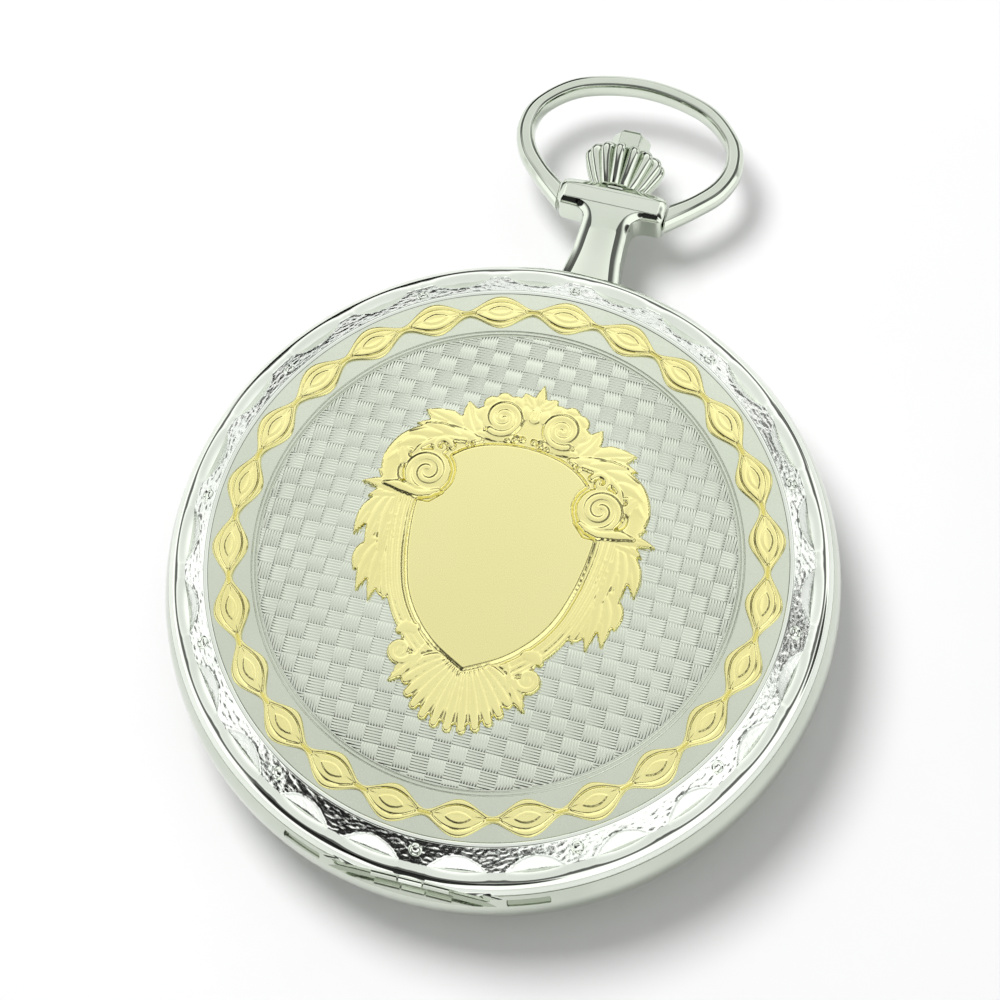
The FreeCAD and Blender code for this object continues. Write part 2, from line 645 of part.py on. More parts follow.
# ---- movement ----
BRIDGE_SCREWS = [(-15.6, 3.6), (-8.4, 14.2), (8.6, 14.2), (15.4, 3.4), (14.6, -3.0), (7.6, -12.6)]
COCK_FOOT = (-7.0, -14.4)
COCK_SCREW = (-6.9, -14.5)
PALLET_FEET = [polar(PALLET, 2.7, LEVER_LINE - 90), polar(PALLET, 2.7, LEVER_LINE + 90)]
CASE_SCREW_PLACES = [polar(CENTRE, 17.8, 12), polar(CENTRE, 17.8, 168)]
DIAL_FEET = [polar(CENTRE, 17.2, 40), polar(CENTRE, 17.2, 220)]
CLICK_PIVOT = polar(BARREL, 8.0, 8)


def wheel_room(at, radius, z0=2.8, z1=4.95):
    return cylinder(radius, z0, z1, at)


def train_rooms():
    """Free space round the wheels, cut out of the bridges' feet."""
    return [wheel_room(BARREL, 7.75), wheel_room(CENTRE, 5.8), wheel_room(THIRD, 5.2),
            wheel_room(FOURTH, 5.3), wheel_room(ESCAPE, 3.1), wheel_room(BALANCE, 5.75),
            wheel_room(CROWN_WHEEL, 3.55), block(-2.0, 2.0, 10, 20, 2.9, 4.95),
            stadium(ESCAPE, BALANCE, 3.2, 2.8, 4.95)]


def make_mainplate():
    body = joined(cylinder(PLATE_R, *PLATE_Z), ring(16.6, PLATE_R, PLATE_Z[1], DIAL_Z[0]))
    window = block(-1.85, 1.85, 12.3, 16.75, 4, 8)
    stem_slot = joined(bar_y(0.62, 15, 20), bar_y(0.22, 10.5, 13), block(-0.62, 0.62, 16, 20, 3, STEM_Z))
    lever_slot = block(0.1, 1.5, 16.2, 19.0, STEM_Z, 8)
    lever_room = block(-1.5, 4.2, 15.5, 19, PLATE_Z[1], 8)
    cuts = [window, stem_slot, lever_slot, lever_room, cylinder(1.0, 4, 8, CENTRE),
            cylinder(0.3, 4, 8, FOURTH), cylinder(0.65, 4, 5.5, BARREL)]
    cuts += [cylinder(JEWEL_R, 5.3, 8, at) for at in (THIRD, ESCAPE, PALLET, BALANCE)]
    cuts += [cylinder(0.3, 4, 8, at) for at in (THIRD, ESCAPE, PALLET, BALANCE)]
    cuts += [screw_seat(at, BRIDGE_Z[0], 6.0) for at in BRIDGE_SCREWS + [COCK_SCREW]]
    cuts += [screw_seat(at, 4.45, 6.1, 0.95, 0.45, 0.45) for at in CASE_SCREW_PLACES]
    cuts += [cylinder(0.2, 4, 6.2, at) for at in PALLET_FEET]
    cuts += [cylinder(0.4, 5.2, 8, at) for at in DIAL_FEET]
    body = without(body, *cuts)
    posts = [cylinder(0.35, 6.2, 6.95, MINUTE), cylinder(0.35, 6.2, 6.75, SETTING),
             cylinder(0.22, 6.2, 6.8, LEVER_PIVOT), cylinder(0.22, 6.2, 6.8, YOKE_PIVOT)]
    return joined(body, *posts)


def bridge_half(keep, feet):
    """Bridge over part of the plate: a slab with solid feet that reach the main plate."""
    slab = cylinder(BRIDGE_R, *BRIDGE_Z).common(keep)
    legs = cylinder(BRIDGE_R, BRIDGE_Z[1], PLATE_Z[0]).common(keep).common(feet)
    return joined(slab, without(legs, *train_rooms()))


def make_barrel_bridge():
    keep = block(-20, 20, 1.4, 20, 0, 6)
    feet = joined(block(-20, -12.6, 1.4, 20, 0, 6), block(12.2, 20, 1.4, 20, 0, 6),
                  block(5.6, 12.3, 10.5, 20, 0, 6), block(-12.7, -4.8, 13.4, 20, 0, 6))
    body = bridge_half(keep, feet)
    cuts = [cylinder(0.9, 1, 4, CROWN_WHEEL), cylinder(0.85, 1, 4, BARREL),
            cylinder(0.3, 1.5, 4, CLICK_PIVOT)]
    cuts += [screw_seat(at, BRIDGE_Z[0], 6.0) for at in BRIDGE_SCREWS[:4]]
    cuts += [cylinder(1.0, 1, 4.95, at) for at in CASE_SCREW_PLACES]
    return without(body, *cuts)


def make_train_bridge():
    keep = joined(block(-4.0, 20, -20, 1.2, 0, 6), cylinder(1.5, 0, 6, ESCAPE),
                  plate([(-4.5, -6.0), (0, -3), (0, -12), (-4.5, -9.0)], 0, 6))
    keep = without(keep, cylinder(5.8, 0, 6, BALANCE), cylinder(3.1, 0, 6, COCK_FOOT))
    feet = joined(block(10.9, 20, -20, 1.2, 0, 6), block(5.6, 11, -20, -11.2, 0, 6))
    body = bridge_half(keep, feet)
    cuts = [cylinder(JEWEL_R, 1, 2.05, at) for at in (THIRD, FOURTH, ESCAPE)]
    cuts += [cylinder(0.3, 1, 4, at) for at in (THIRD, FOURTH, ESCAPE)]
    cuts += [cylinder(0.32, 1, 4, CENTRE)]
    cuts += [screw_seat(at, BRIDGE_Z[0], 6.0) for at in BRIDGE_SCREWS[4:]]
    return without(body, *cuts)


def make_balance_cock():
    foot = cylinder(2.5, BRIDGE_Z[0], PLATE_Z[0], COCK_FOOT)
    arm = stadium(COCK_FOOT, BALANCE, 1.5, BRIDGE_Z[0], 2.4)
    table = cylinder(2.1, BRIDGE_Z[0], 2.4, BALANCE)
    body = joined(foot, arm, table).common(cylinder(BRIDGE_R, 0, 6))
    return without(body, cylinder(JEWEL_R, 1, 2.05, BALANCE), cylinder(0.3, 1, 3, BALANCE),
                   ring(1.0, 2.2, 0, BRIDGE_Z[0] + 0.25, BALANCE),
                   screw_seat(COCK_SCREW, BRIDGE_Z[0], 6.0))


def make_pallet_bridge():
    slab = stadium(PALLET_FEET[0], PALLET_FEET[1], 0.55, 3.42, 3.62)
    legs = [cylinder(0.5, 3.42, PLATE_Z[0], at) for at in PALLET_FEET]
    pins = [cylinder(0.2, PLATE_Z[0], 5.9, at) for at in PALLET_FEET]
    return joined(slab, *(legs + pins)).cut(cylinder(0.13, 3, 4, PALLET))


def jewel(at, z0, z1, hole=PIVOT_R + PIVOT_FIT):
    return ring(hole, JEWEL_R, z0, z1, at)


def make_jewels():
    upper = [jewel(at, BRIDGE_Z[0], BRIDGE_Z[0] + JEWEL_T) for at in (THIRD, FOURTH, ESCAPE, BALANCE)]
    lower = [jewel(at, 5.3, 5.3 + JEWEL_T) for at in (THIRD, ESCAPE, PALLET, BALANCE)]
    return Part.Compound(upper + lower)


def make_barrel():
    """Toothed drum, open towards the main plate."""
    teeth_phase = bearing(BARREL, CENTRE)
    rim = wheel(BARREL_TEETH, BARREL_MODULE, teeth_phase, 4.4, 4.8, BARREL)
    body = joined(cylinder(6.6, 3.7, 4.8, BARREL), rim)
    return without(body, cylinder(6.1, 3.86, 4.65, BARREL), cylinder(6.3, 4.6, 4.9, BARREL),
                   cylinder(0.65, 3, 5, BARREL))


def make_barrel_cover():
    return ring(0.65, 6.3, 4.65, 4.8, BARREL)


def spiral(at, r_start, r_end, turns, thick, z0, z1, per_turn=24):
    """Flat coiled ribbon."""
    count = int(turns * per_turn)
    shares = [i / count for i in range(count + 1)]

    def side(offset):
        return [polar(at, r_start + (r_end - r_start) * share + offset, 360 * turns * share)
                for share in shares]
    return plate(side(thick / 2) + side(-thick / 2)[::-1], z0, z1)


def make_mainspring():
    return spiral(BARREL, 1.5, 5.95, 9, 0.16, 3.9, 4.6)


def make_barrel_arbor():
    return joined(cylinder(0.8, 1.3, 3.5, BARREL), cylinder(0.6, 3.4, 5.3, BARREL),
                  cylinder(1.25, 3.9, 4.6, BARREL)).cut(cylinder(0.4, 1.0, 2.6, BARREL))


def make_ratchet_wheel():
    direction = bearing(BARREL, CROWN_WHEEL)
    body = wheel(RATCHET_TEETH, WINDING_MODULE, direction, *WINDING_Z, BARREL)
    return body.cut(cylinder(0.8, 1, 2, BARREL))


def make_ratchet_screw():
    return screw(BARREL, 1.0, 2.5, 1.3, 0.4, 0.3)


def make_crown_wheel():
    direction = bearing(BARREL, CROWN_WHEEL)
    phase = facing_phase(RATCHET_TEETH, direction, CROWN_TEETH, direction)
    body = wheel(CROWN_TEETH, WINDING_MODULE, phase, *WINDING_Z, CROWN_WHEEL)
    hub = cylinder(0.85, WINDING_Z[0], 2.98, CROWN_WHEEL)
    return joined(body, hub).cut(cylinder(0.4, 1.0, 3.2, CROWN_WHEEL))


def make_crown_wheel_screw():
    return screw(CROWN_WHEEL, 1.0, 3.15, 1.1, 0.4, 0.3)


def make_contrate_wheel():
    """Lower half of the crown wheel, with face teeth that meet the winding pinion."""
    disc = cylinder(3.2, 2.98, 3.26, CROWN_WHEEL)
    offset = 0.5 * 360.0 / CONTRATE_TEETH
    teeth = face_teeth(CONTRATE_TEETH, CONTRATE_R, 0.3, 0.2, 3.2, 3.6, CROWN_WHEEL)
    body = disc
    for tooth in teeth:
        tooth.rotate(V(CROWN_WHEEL[0], CROWN_WHEEL[1], 0), V(0, 0, 1), offset)
        body = body.fuse(tooth)
    return body.removeSplitter().cut(cylinder(0.4, 2.5, 4, CROWN_WHEEL))


def make_click():
    """Click beside the ratchet wheel, drawn just lifted out of the teeth."""
    beak = polar(BARREL, 5.75, 18)
    arm = stadium(CLICK_PIVOT, polar(BARREL, 6.3, 17), 0.4, 1.3, 1.62)
    nose = stadium(polar(BARREL, 6.3, 17), beak, 0.18, 1.3, 1.62)
    boss = cylinder(0.75, 1.3, 1.62, CLICK_PIVOT)
    pin = cylinder(0.27, 1.3, 2.8, CLICK_PIVOT)
    return joined(arm, nose, boss, pin)


def make_click_spring():
    """Bent wire spring pressing on the click, pinned to the bridge."""
    start = polar(CLICK_PIVOT, 1.2, -20)
    return joined(stadium(start, polar(CLICK_PIVOT, 3.4, -35), 0.12, 1.38, 1.62),
                  cylinder(0.35, 1.38, 1.7, polar(CLICK_PIVOT, 3.4, -35)))


def make_centre_wheel():
    toothed = wheel(CENTRE_TEETH, CENTRE_MODULE, bearing(CENTRE, THIRD), 3.1, 3.35, CENTRE)
    toothed = without(toothed, *spokes(5, 1.4, 4.4, 0.7, 3.1, 3.35, CENTRE))
    leaf_phase = facing_phase(BARREL_TEETH, bearing(BARREL, CENTRE), CENTRE_PINION, bearing(BARREL, CENTRE))
    leaves = pinion(CENTRE_PINION, BARREL_MODULE, leaf_phase, 4.3, 4.86, CENTRE)
    body = joined(toothed, leaves, cylinder(0.55, 3.0, 4.86, CENTRE), cylinder(0.27, 1.75, 8.95, CENTRE),
                  cylinder(0.93, 4.86, 6.25, CENTRE))
    return body


def make_cannon_pinion():
    """Friction-fitted tube on the centre arbor that carries the minute hand."""
    leaves = pinion(CANNON_TEETH, MOTION_MODULE, bearing(CENTRE, MINUTE), 6.36, 6.64, CENTRE)
    return joined(leaves, cylinder(0.72, 6.36, 8.75, CENTRE)).cut(cylinder(0.27, 6, 9, CENTRE))


def make_third_wheel():
    toothed = wheel(THIRD_TEETH, THIRD_MODULE, bearing(THIRD, FOURTH), 3.6, 3.8, THIRD)
    toothed = without(toothed, *spokes(5, 1.2, 3.95, 0.55, 3.6, 3.8, THIRD))
    phase = facing_phase(CENTRE_TEETH, bearing(CENTRE, THIRD), THIRD_PINION, bearing(CENTRE, THIRD))
    return joined(toothed, pinion(THIRD_PINION, CENTRE_MODULE, phase, 3.02, 3.6, THIRD),
                  arbor(THIRD, 1.75, 5.6, 0.16), cylinder(0.5, 3.55, 3.85, THIRD))


def make_fourth_wheel():
    """Seconds wheel. Its long pivot carries the seconds hand."""
    toothed = wheel(FOURTH_TEETH, FOURTH_MODULE, bearing(FOURTH, ESCAPE), 4.2, 4.4, FOURTH)
    toothed = without(toothed, *spokes(5, 1.2, 4.1, 0.55, 4.2, 4.4, FOURTH))
    phase = facing_phase(THIRD_TEETH, bearing(THIRD, FOURTH), FOURTH_PINION, bearing(THIRD, FOURTH))
    return joined(toothed, pinion(FOURTH_PINION, THIRD_MODULE, phase, 3.45, 4.2, FOURTH),
                  arbor(FOURTH, 1.75, 4.86, 0.2), cylinder(0.25, 4.4, 7.0, FOURTH),
                  cylinder(0.15, 7.0, 7.75, FOURTH), cylinder(0.5, 4.15, 4.45, FOURTH))


def make_escape_wheel():
    """Fifteen club teeth on a pinion."""
    points = []
    for i in range(ESCAPE_TEETH):
        middle = 360.0 * i / ESCAPE_TEETH
        points += [polar(ESCAPE, r, middle + a) for r, a in
                   ((2.0, 0), (2.05, 9), (ESCAPE_R - 0.12, 15.0), (ESCAPE_R, 19.5), (2.1, 20.0))]
    rim = without(plate(points, 3.75, 3.95), *spokes(4, 0.7, 1.6, 0.4, 3.75, 3.95, ESCAPE))
    phase = facing_phase(FOURTH_TEETH, bearing(FOURTH, ESCAPE), ESCAPE_PINION, bearing(FOURTH, ESCAPE))
    return joined(rim, pinion(ESCAPE_PINION, FOURTH_MODULE, phase, 3.95, 4.6, ESCAPE),
                  arbor(ESCAPE, 1.75, 5.6, 0.16))


PALLET_Z = (4.0, 4.16)     # the lever works just under the escape wheel, with a small gap


def make_pallet_fork():
    arms = [stadium(PALLET, polar(PALLET, 1.7, LEVER_LINE + 180 + a), 0.22, *PALLET_Z) for a in (-58, 58)]
    lever = stadium(PALLET, polar(PALLET, 2.2, LEVER_LINE), 0.2, *PALLET_Z)
    horns = [stadium(polar(PALLET, 2.2, LEVER_LINE), polar(PALLET, 2.7, LEVER_LINE + a), 0.11, *PALLET_Z)
             for a in (-9, 9)]
    return joined(*(arms + [lever, cylinder(0.4, *PALLET_Z, at=PALLET)] + horns
                    + [cylinder(0.16, 3.64, 4.8, PALLET), cylinder(PIVOT_R, 3.44, 5.6, PALLET)]))


def make_pallet_stones(fork):
    """Two ruby stones at the ends of the fork's arms, just clear of the escape wheel."""
    stones = []
    for a in (-58, 58):
        tip = polar(PALLET, 1.7, LEVER_LINE + 180 + a)
        reach = polar(tip, 0.55, LEVER_LINE + 180 + a * 0.35)
        stones.append(stadium(tip, reach, 0.1, PALLET_Z[0] + 0.02, PALLET_Z[1] - 0.02).cut(fork))
    return Part.Compound(stones)


def make_balance_wheel():
    """Rim with twelve timing screws round it, one straight arm and a hub."""
    z0, z1 = BALANCE_Z
    rim = ring(BALANCE_R - 0.55, BALANCE_R - 0.12, z0, z1, BALANCE)
    arm_at = LEVER_LINE + 45
    arm = stadium(polar(BALANCE, BALANCE_R - 0.4, arm_at), polar(BALANCE, BALANCE_R - 0.4, arm_at + 180),
                  0.28, z0 + 0.1, z1)
    screws = []
    for k in range(12):
        head = V(*polar(BALANCE, BALANCE_R - 0.14, 30 * k), (z0 + z1) / 2)
        screws.append(Part.makeCylinder(0.14, 0.3, head, V(*polar((0, 0), 1, 30 * k), 0)))
    return joined(rim, arm, cylinder(0.6, z0, z1, BALANCE), *screws).cut(cylinder(0.25, 2, 4, BALANCE))


def make_balance_staff():
    return joined(cylinder(0.25, 2.5, 3.7, BALANCE), cylinder(0.42, *HAIRSPRING_Z, BALANCE),
                  cylinder(PIVOT_R, 1.75, 5.6, BALANCE), cylinder(0.2, 3.7, 4.8, BALANCE))


def make_roller():
    """Impulse roller with its jewel, set over the fork with a small gap."""
    disc = cylinder(1.05, 3.68, 3.84, BALANCE)
    jewel_at = polar(BALANCE, 0.85, LEVER_LINE + 180)
    body = joined(disc, cylinder(0.1, 3.8, 3.95, jewel_at))
    return without(body, cylinder(0.25, 3, 3.7, BALANCE), cylinder(0.2, 3.6, 4, BALANCE))


def make_hairspring():
    return spiral(BALANCE, 0.45, 2.6, 9, 0.06, *HAIRSPRING_Z)


def make_regulator():
    """Index lever round the balance jewel on the cock."""
    return joined(ring(1.05, 1.65, 1.5, 1.9, BALANCE),
                  stadium(polar(BALANCE, 1.4, 118), polar(BALANCE, 4.4, 118), 0.14, 1.5, 1.7))


def minute_wheel_phase():
    direction = bearing(CENTRE, MINUTE)
    return facing_phase(CANNON_TEETH, direction, MINUTE_TEETH, direction)


def make_minute_wheel():
    toothed = wheel(MINUTE_TEETH, MOTION_MODULE, minute_wheel_phase(), *MOTION_Z, MINUTE)
    leaves = pinion(MINUTE_PINION, HOUR_MODULE, bearing(MINUTE, CENTRE), MOTION_Z[1], 6.92, MINUTE)
    return joined(toothed, leaves).cut(cylinder(0.4, 6, 8, MINUTE))


def make_setting_wheel():
    phase = facing_phase(MINUTE_TEETH, minute_wheel_phase(), SETTING_TEETH, bearing(MINUTE, SETTING))
    body = wheel(SETTING_TEETH, MOTION_MODULE, phase, *MOTION_Z, SETTING)
    return body.cut(cylinder(0.4, 6, 8, SETTING))


def make_hour_wheel():
    phase = facing_phase(MINUTE_PINION, bearing(MINUTE, CENTRE), HOUR_TEETH, bearing(MINUTE, CENTRE))
    toothed = wheel(HOUR_TEETH, HOUR_MODULE, phase, 6.68, 6.9, CENTRE)
    return joined(toothed, cylinder(1.1, 6.68, 8.15, CENTRE)).cut(cylinder(0.78, 6, 9, CENTRE))


def make_dial():
    """Flat disc with a sunk seconds circle, two bores for the hands and feet on its underside."""
    sunk = ring(0.4, 4.3, DIAL_Z[1] - 0.15, DIAL_Z[1] + 1, FOURTH)
    disc = without(cylinder(DIAL_R, *DIAL_Z), cylinder(1.25, 6, 8, CENTRE), cylinder(0.4, 6, 8, FOURTH), sunk)
    feet = [cylinder(0.35, 5.4, DIAL_Z[0], at) for at in DIAL_FEET]
    return joined(disc, *feet)


# the hands at rest show about nine minutes past ten
HOUR_DEG = 90 - 304.5
MINUTE_DEG = 90 - 54
SECONDS_DEG = 90 - 210


def hand(at, length, width, tail, hub_r, hole_r, z0, z1, degrees):
    """Tapered hand with a round hub and a leaf-shaped swelling."""
    half = [(-tail, width * 0.25), (length * 0.55, width * 0.3), (length * 0.72, width * 0.62)]
    points = [(x, -y) for x, y in half] + [(length, 0)] + half[::-1]
    placed = [polar(polar(at, x, degrees), y, degrees + 90) for x, y in points]
    body = joined(plate(placed, z0, z1), cylinder(hub_r, z0, z1, at))
    return body.cut(cylinder(hole_r, z0 - 1, z1 + 1, at))


# ---- write every sub-part ----
nodes = {}
nodes["case_middle"] = make_case_middle()
nodes["pendant"] = make_pendant(nodes["case_middle"])
nodes["front_lid"] = make_front_lid()
nodes["hinge_pin"] = make_hinge_pin()
nodes["back_cover"] = make_back_cover()
nodes["crystal_bezel"] = make_crystal_bezel()
nodes["crystal"] = make_crystal()
nodes["movement_ring"] = make_movement_ring()
nodes["lock_spring"] = make_lock_spring()
nodes["lift_spring"] = make_lift_spring()
nodes["spring_screws"] = Part.Compound([spring_screw(LOCK_SCREW), spring_screw(LIFT_SCREW)])
nodes["bow"] = make_bow()
nodes["crown"] = make_crown()
nodes["winding_stem"] = make_winding_stem()
nodes["lid_button"] = make_lid_button()
nodes["push_rod"] = make_push_rod()
nodes["cross_pin"] = make_cross_pin()
nodes["release_collar"] = make_release_collar()
nodes["winding_pinion"] = make_winding_pinion()
nodes["clutch"] = make_clutch()
nodes["setting_lever"] = make_setting_lever()
nodes["yoke"] = make_yoke()
nodes["mainplate"] = make_mainplate()
nodes["barrel_bridge"] = make_barrel_bridge()
nodes["train_bridge"] = make_train_bridge()
nodes["balance_cock"] = make_balance_cock()
nodes["pallet_bridge"] = make_pallet_bridge()
nodes["jewels"] = make_jewels()
nodes["bridge_screws"] = Part.Compound([screw(at, BRIDGE_Z[0], 6.0) for at in BRIDGE_SCREWS + [COCK_SCREW]])
nodes["case_screws"] = Part.Compound([screw(at, 4.45, 6.1, 0.95, 0.45, 0.45) for at in CASE_SCREW_PLACES])
nodes["barrel"] = make_barrel()
nodes["barrel_cover"] = make_barrel_cover()
nodes["mainspring"] = make_mainspring()
nodes["barrel_arbor"] = make_barrel_arbor()
nodes["ratchet_wheel"] = make_ratchet_wheel()
nodes["ratchet_screw"] = make_ratchet_screw()
nodes["crown_wheel"] = make_crown_wheel()
nodes["crown_wheel_screw"] = make_crown_wheel_screw()
nodes["contrate_wheel"] = make_contrate_wheel()
nodes["click"] = make_click()
nodes["click_spring"] = make_click_spring()
nodes["centre_wheel"] = make_centre_wheel()
nodes["cannon_pinion"] = make_cannon_pinion()
nodes["third_wheel"] = make_third_wheel()
nodes["fourth_wheel"] = make_fourth_wheel()
nodes["escape_wheel"] = make_escape_wheel()
nodes["pallet_fork"] = make_pallet_fork()
nodes["pallet_stones"] = make_pallet_stones(nodes["pallet_fork"])
nodes["balance_wheel"] = make_balance_wheel()
nodes["balance_staff"] = make_balance_staff()
nodes["roller"] = make_roller()
nodes["hairspring"] = make_hairspring()
nodes["regulator"] = make_regulator()
nodes["minute_wheel"] = make_minute_wheel()
nodes["setting_wheel"] = make_setting_wheel()
nodes["hour_wheel"] = make_hour_wheel()
nodes["dial"] = make_dial()
nodes["hour_hand"] = hand(CENTRE, 9.6, 1.7, 0, 1.6, 1.1, *HOUR_HAND_Z, HOUR_DEG)
nodes["minute_hand"] = hand(CENTRE, 14.6, 1.5, 0, 1.3, 0.72, *MINUTE_HAND_Z, MINUTE_DEG)
nodes["seconds_hand"] = hand(FOURTH, 3.5, 0.35, 1.2, 0.42, 0.15, *SECONDS_HAND_Z, SECONDS_DEG)

for name, shape in nodes.items():
    solids = shape.Solids
    if not shape.isValid() or not solids:
        print("NOT VALID", name, len(solids))
    print(f"{name}: {len(solids)} solid(s), {sum(s.Volume for s in solids):.3f} mm3")
    shape.exportStep(f"parts/{name}.step")
print(len(nodes), "nodes")
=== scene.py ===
import math

import bmesh
import bpy
import numpy as np
from mathutils import Matrix, Vector


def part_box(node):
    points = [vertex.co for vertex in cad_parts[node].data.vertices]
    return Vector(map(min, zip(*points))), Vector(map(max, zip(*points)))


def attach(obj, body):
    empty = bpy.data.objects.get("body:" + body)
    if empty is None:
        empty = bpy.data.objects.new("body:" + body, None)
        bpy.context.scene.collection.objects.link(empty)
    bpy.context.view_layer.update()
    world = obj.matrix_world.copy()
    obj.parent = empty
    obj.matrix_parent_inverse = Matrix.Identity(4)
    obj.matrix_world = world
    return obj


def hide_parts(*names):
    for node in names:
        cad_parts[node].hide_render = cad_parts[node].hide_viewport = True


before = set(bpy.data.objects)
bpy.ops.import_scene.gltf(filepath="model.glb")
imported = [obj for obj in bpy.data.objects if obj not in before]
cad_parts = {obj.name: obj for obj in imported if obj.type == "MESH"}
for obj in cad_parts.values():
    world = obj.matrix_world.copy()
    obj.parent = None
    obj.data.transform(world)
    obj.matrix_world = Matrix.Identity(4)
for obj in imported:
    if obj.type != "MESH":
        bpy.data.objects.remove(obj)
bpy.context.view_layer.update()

# A hunter pocket watch, lid closed at rest. Lengths below are millimetres in the CAD frame.
MM = 0.001


def cad_box(node):
    low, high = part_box(node)
    return np.array(low) / MM, np.array(high) / MM


# ---- where the CAD has things ----
CROWN_LOW, CROWN_HIGH = cad_box("crown")
STEM_Z = (CROWN_LOW[2] + CROWN_HIGH[2]) / 2
HINGE_LOW, HINGE_HIGH = cad_box("hinge_pin")
HINGE_Y = (HINGE_LOW[1] + HINGE_HIGH[1]) / 2
HINGE_Z = (HINGE_LOW[2] + HINGE_HIGH[2]) / 2
HINGE_FLAT_Y = -24.05      # flat cut across the rim for the hinge
HINGE_FLAT_HALF = 8.0
CHANNEL_HALF = 5.8         # half length of the round channel for the knuckles
CHANNEL_ROOM = 0.58
SEAM_Z = 9.2
LID_TOP = 13.25
LID_WALL = 0.75
DOME_R = 136.0
WEAVE_R = 17.5
BAND_OUTER_R = 21.15
RIDGE_R = 21.35
CHAMFER_R = (21.55, 23.05)
CHAMFER_DROP = 1.1
RIM_R = 24.4
DIAL_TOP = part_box("dial")[1].z / MM


def dome_z(r, drop=0.0):
    """Height of the lid's shallow dome at radius r."""
    return np.sqrt(DOME_R ** 2 - np.asarray(r, float) ** 2) - DOME_R + LID_TOP - drop


RIDGE_Z = float(dome_z(RIDGE_R))
CREST_Z = RIDGE_Z - 0.02
FOOT_Z = RIDGE_Z - CHAMFER_DROP
CHAMFER_SLOPE = math.atan2(CREST_Z - FOOT_Z, CHAMFER_R[1] - CHAMFER_R[0])


# ---- curves ----
def spline(points, per=8):
    """Smooth line through the points, with per steps between each two."""
    p = np.array(points, float)
    ends = np.vstack([2 * p[0] - p[1], p, 2 * p[-1] - p[-2]])
    t = np.linspace(0, 1, per, endpoint=False)[:, None]
    runs = []
    for i in range(len(p) - 1):
        a, b, c, d = ends[i:i + 4]
        runs.append(0.5 * (2 * b + (c - a) * t + (2 * a - 5 * b + 4 * c - d) * t ** 2
                           + (3 * b - a - 3 * c + d) * t ** 3))
    return np.vstack(runs + [p[-1:]])


def arc3(p, q, r, n):
    """n points on the circle arc from p through q to r."""
    (ax, ay), (bx, by), (cx, cy) = p, q, r
    d = 2 * (ax * (by - cy) + bx * (cy - ay) + cx * (ay - by))
    pp, qq, rr = ax ** 2 + ay ** 2, bx ** 2 + by ** 2, cx ** 2 + cy ** 2
    ux = (pp * (by - cy) + qq * (cy - ay) + rr * (ay - by)) / d
    uy = (pp * (cx - bx) + qq * (ax - cx) + rr * (bx - ax)) / d
    radius = math.hypot(ax - ux, ay - uy)
    a0, a1, a2 = (math.atan2(y - uy, x - ux) for x, y in (p, q, r))
    turn = (a2 - a0) % (2 * math.pi)
    if (a1 - a0) % (2 * math.pi) > turn:
        turn -= 2 * math.pi
    angles = [a0 + turn * k / (n - 1) for k in range(n)]
    return [(ux + radius * math.cos(a), uy + radius * math.sin(a)) for a in angles]


def curl(cx, cy, r0, r1, start, turns, n=40):
    """Points of a spiral from radius r0 in to r1."""
    t = np.linspace(0, 1, n)
    a = math.radians(start) + 2 * math.pi * turns * t
    r = r0 + (r1 - r0) * t ** 0.9
    return np.stack([cx + r * np.cos(a), cy + r * np.sin(a)], 1)


def outline_inset(points, amount):
    """A closed outline moved inwards by amount, corner by corner."""
    p = np.array(points, float)
    before, after = np.roll(p, 1, 0), np.roll(p, -1, 0)
    e0 = (p - before) / np.linalg.norm(p - before, axis=1)[:, None]
    e1 = (after - p) / np.linalg.norm(after - p, axis=1)[:, None]
    n0, n1 = np.stack([-e0[:, 1], e0[:, 0]], 1), np.stack([-e1[:, 1], e1[:, 0]], 1)
    mitre = (n0 + n1) / np.maximum(1 + (n0 * n1).sum(1), 0.35)[:, None]
    return p + mitre * np.asarray(amount, float)[:, None]


def smooth_step(x, low, high):
    t = np.clip((x - low) / (high - low), 0, 1)
    return t * t * (3 - 2 * t)


# ---- meshes ----
def grid_faces(rows, cols, wrap=False, offset=0):
    """Quads of a grid of vertices stored row by row."""
    r = np.arange(rows - 1)[:, None]
    c = np.arange(cols if wrap else cols - 1)[None, :]
    after = (c + 1) % cols
    quads = [r * cols + c, r * cols + after, (r + 1) * cols + after, (r + 1) * cols + c]
    return np.stack(np.broadcast_arrays(*quads), -1).reshape(-1, 4) + offset


def ring_angles(cols):
    return np.linspace(0, 2 * math.pi, cols, endpoint=False)


def turned(profile, cols):
    """Vertices of a profile of (radius, height) turned round the case axis: rows are profile points."""
    angle = ring_angles(cols)
    p = np.array(profile, float)
    return np.stack([p[:, :1] * np.cos(angle), p[:, :1] * np.sin(angle), np.repeat(p[:, 1:], cols, 1)], -1)


def along_stem(profile, cols, flute=None):
    """The same round the stem axis: profile holds (radius, y)."""
    angle = ring_angles(cols)
    p = np.array(profile, float)
    radius = np.repeat(p[:, :1], cols, 1)
    if flute is not None:
        radius = radius * flute(angle, np.arange(len(p))[:, None])
    return np.stack([radius * np.cos(angle), np.repeat(p[:, 1:], cols, 1), STEM_Z + radius * np.sin(angle)], -1)


def added(name, data):
    """A new object in the scene."""
    obj = bpy.data.objects.new(name, data)
    bpy.context.scene.collection.objects.link(obj)
    return obj


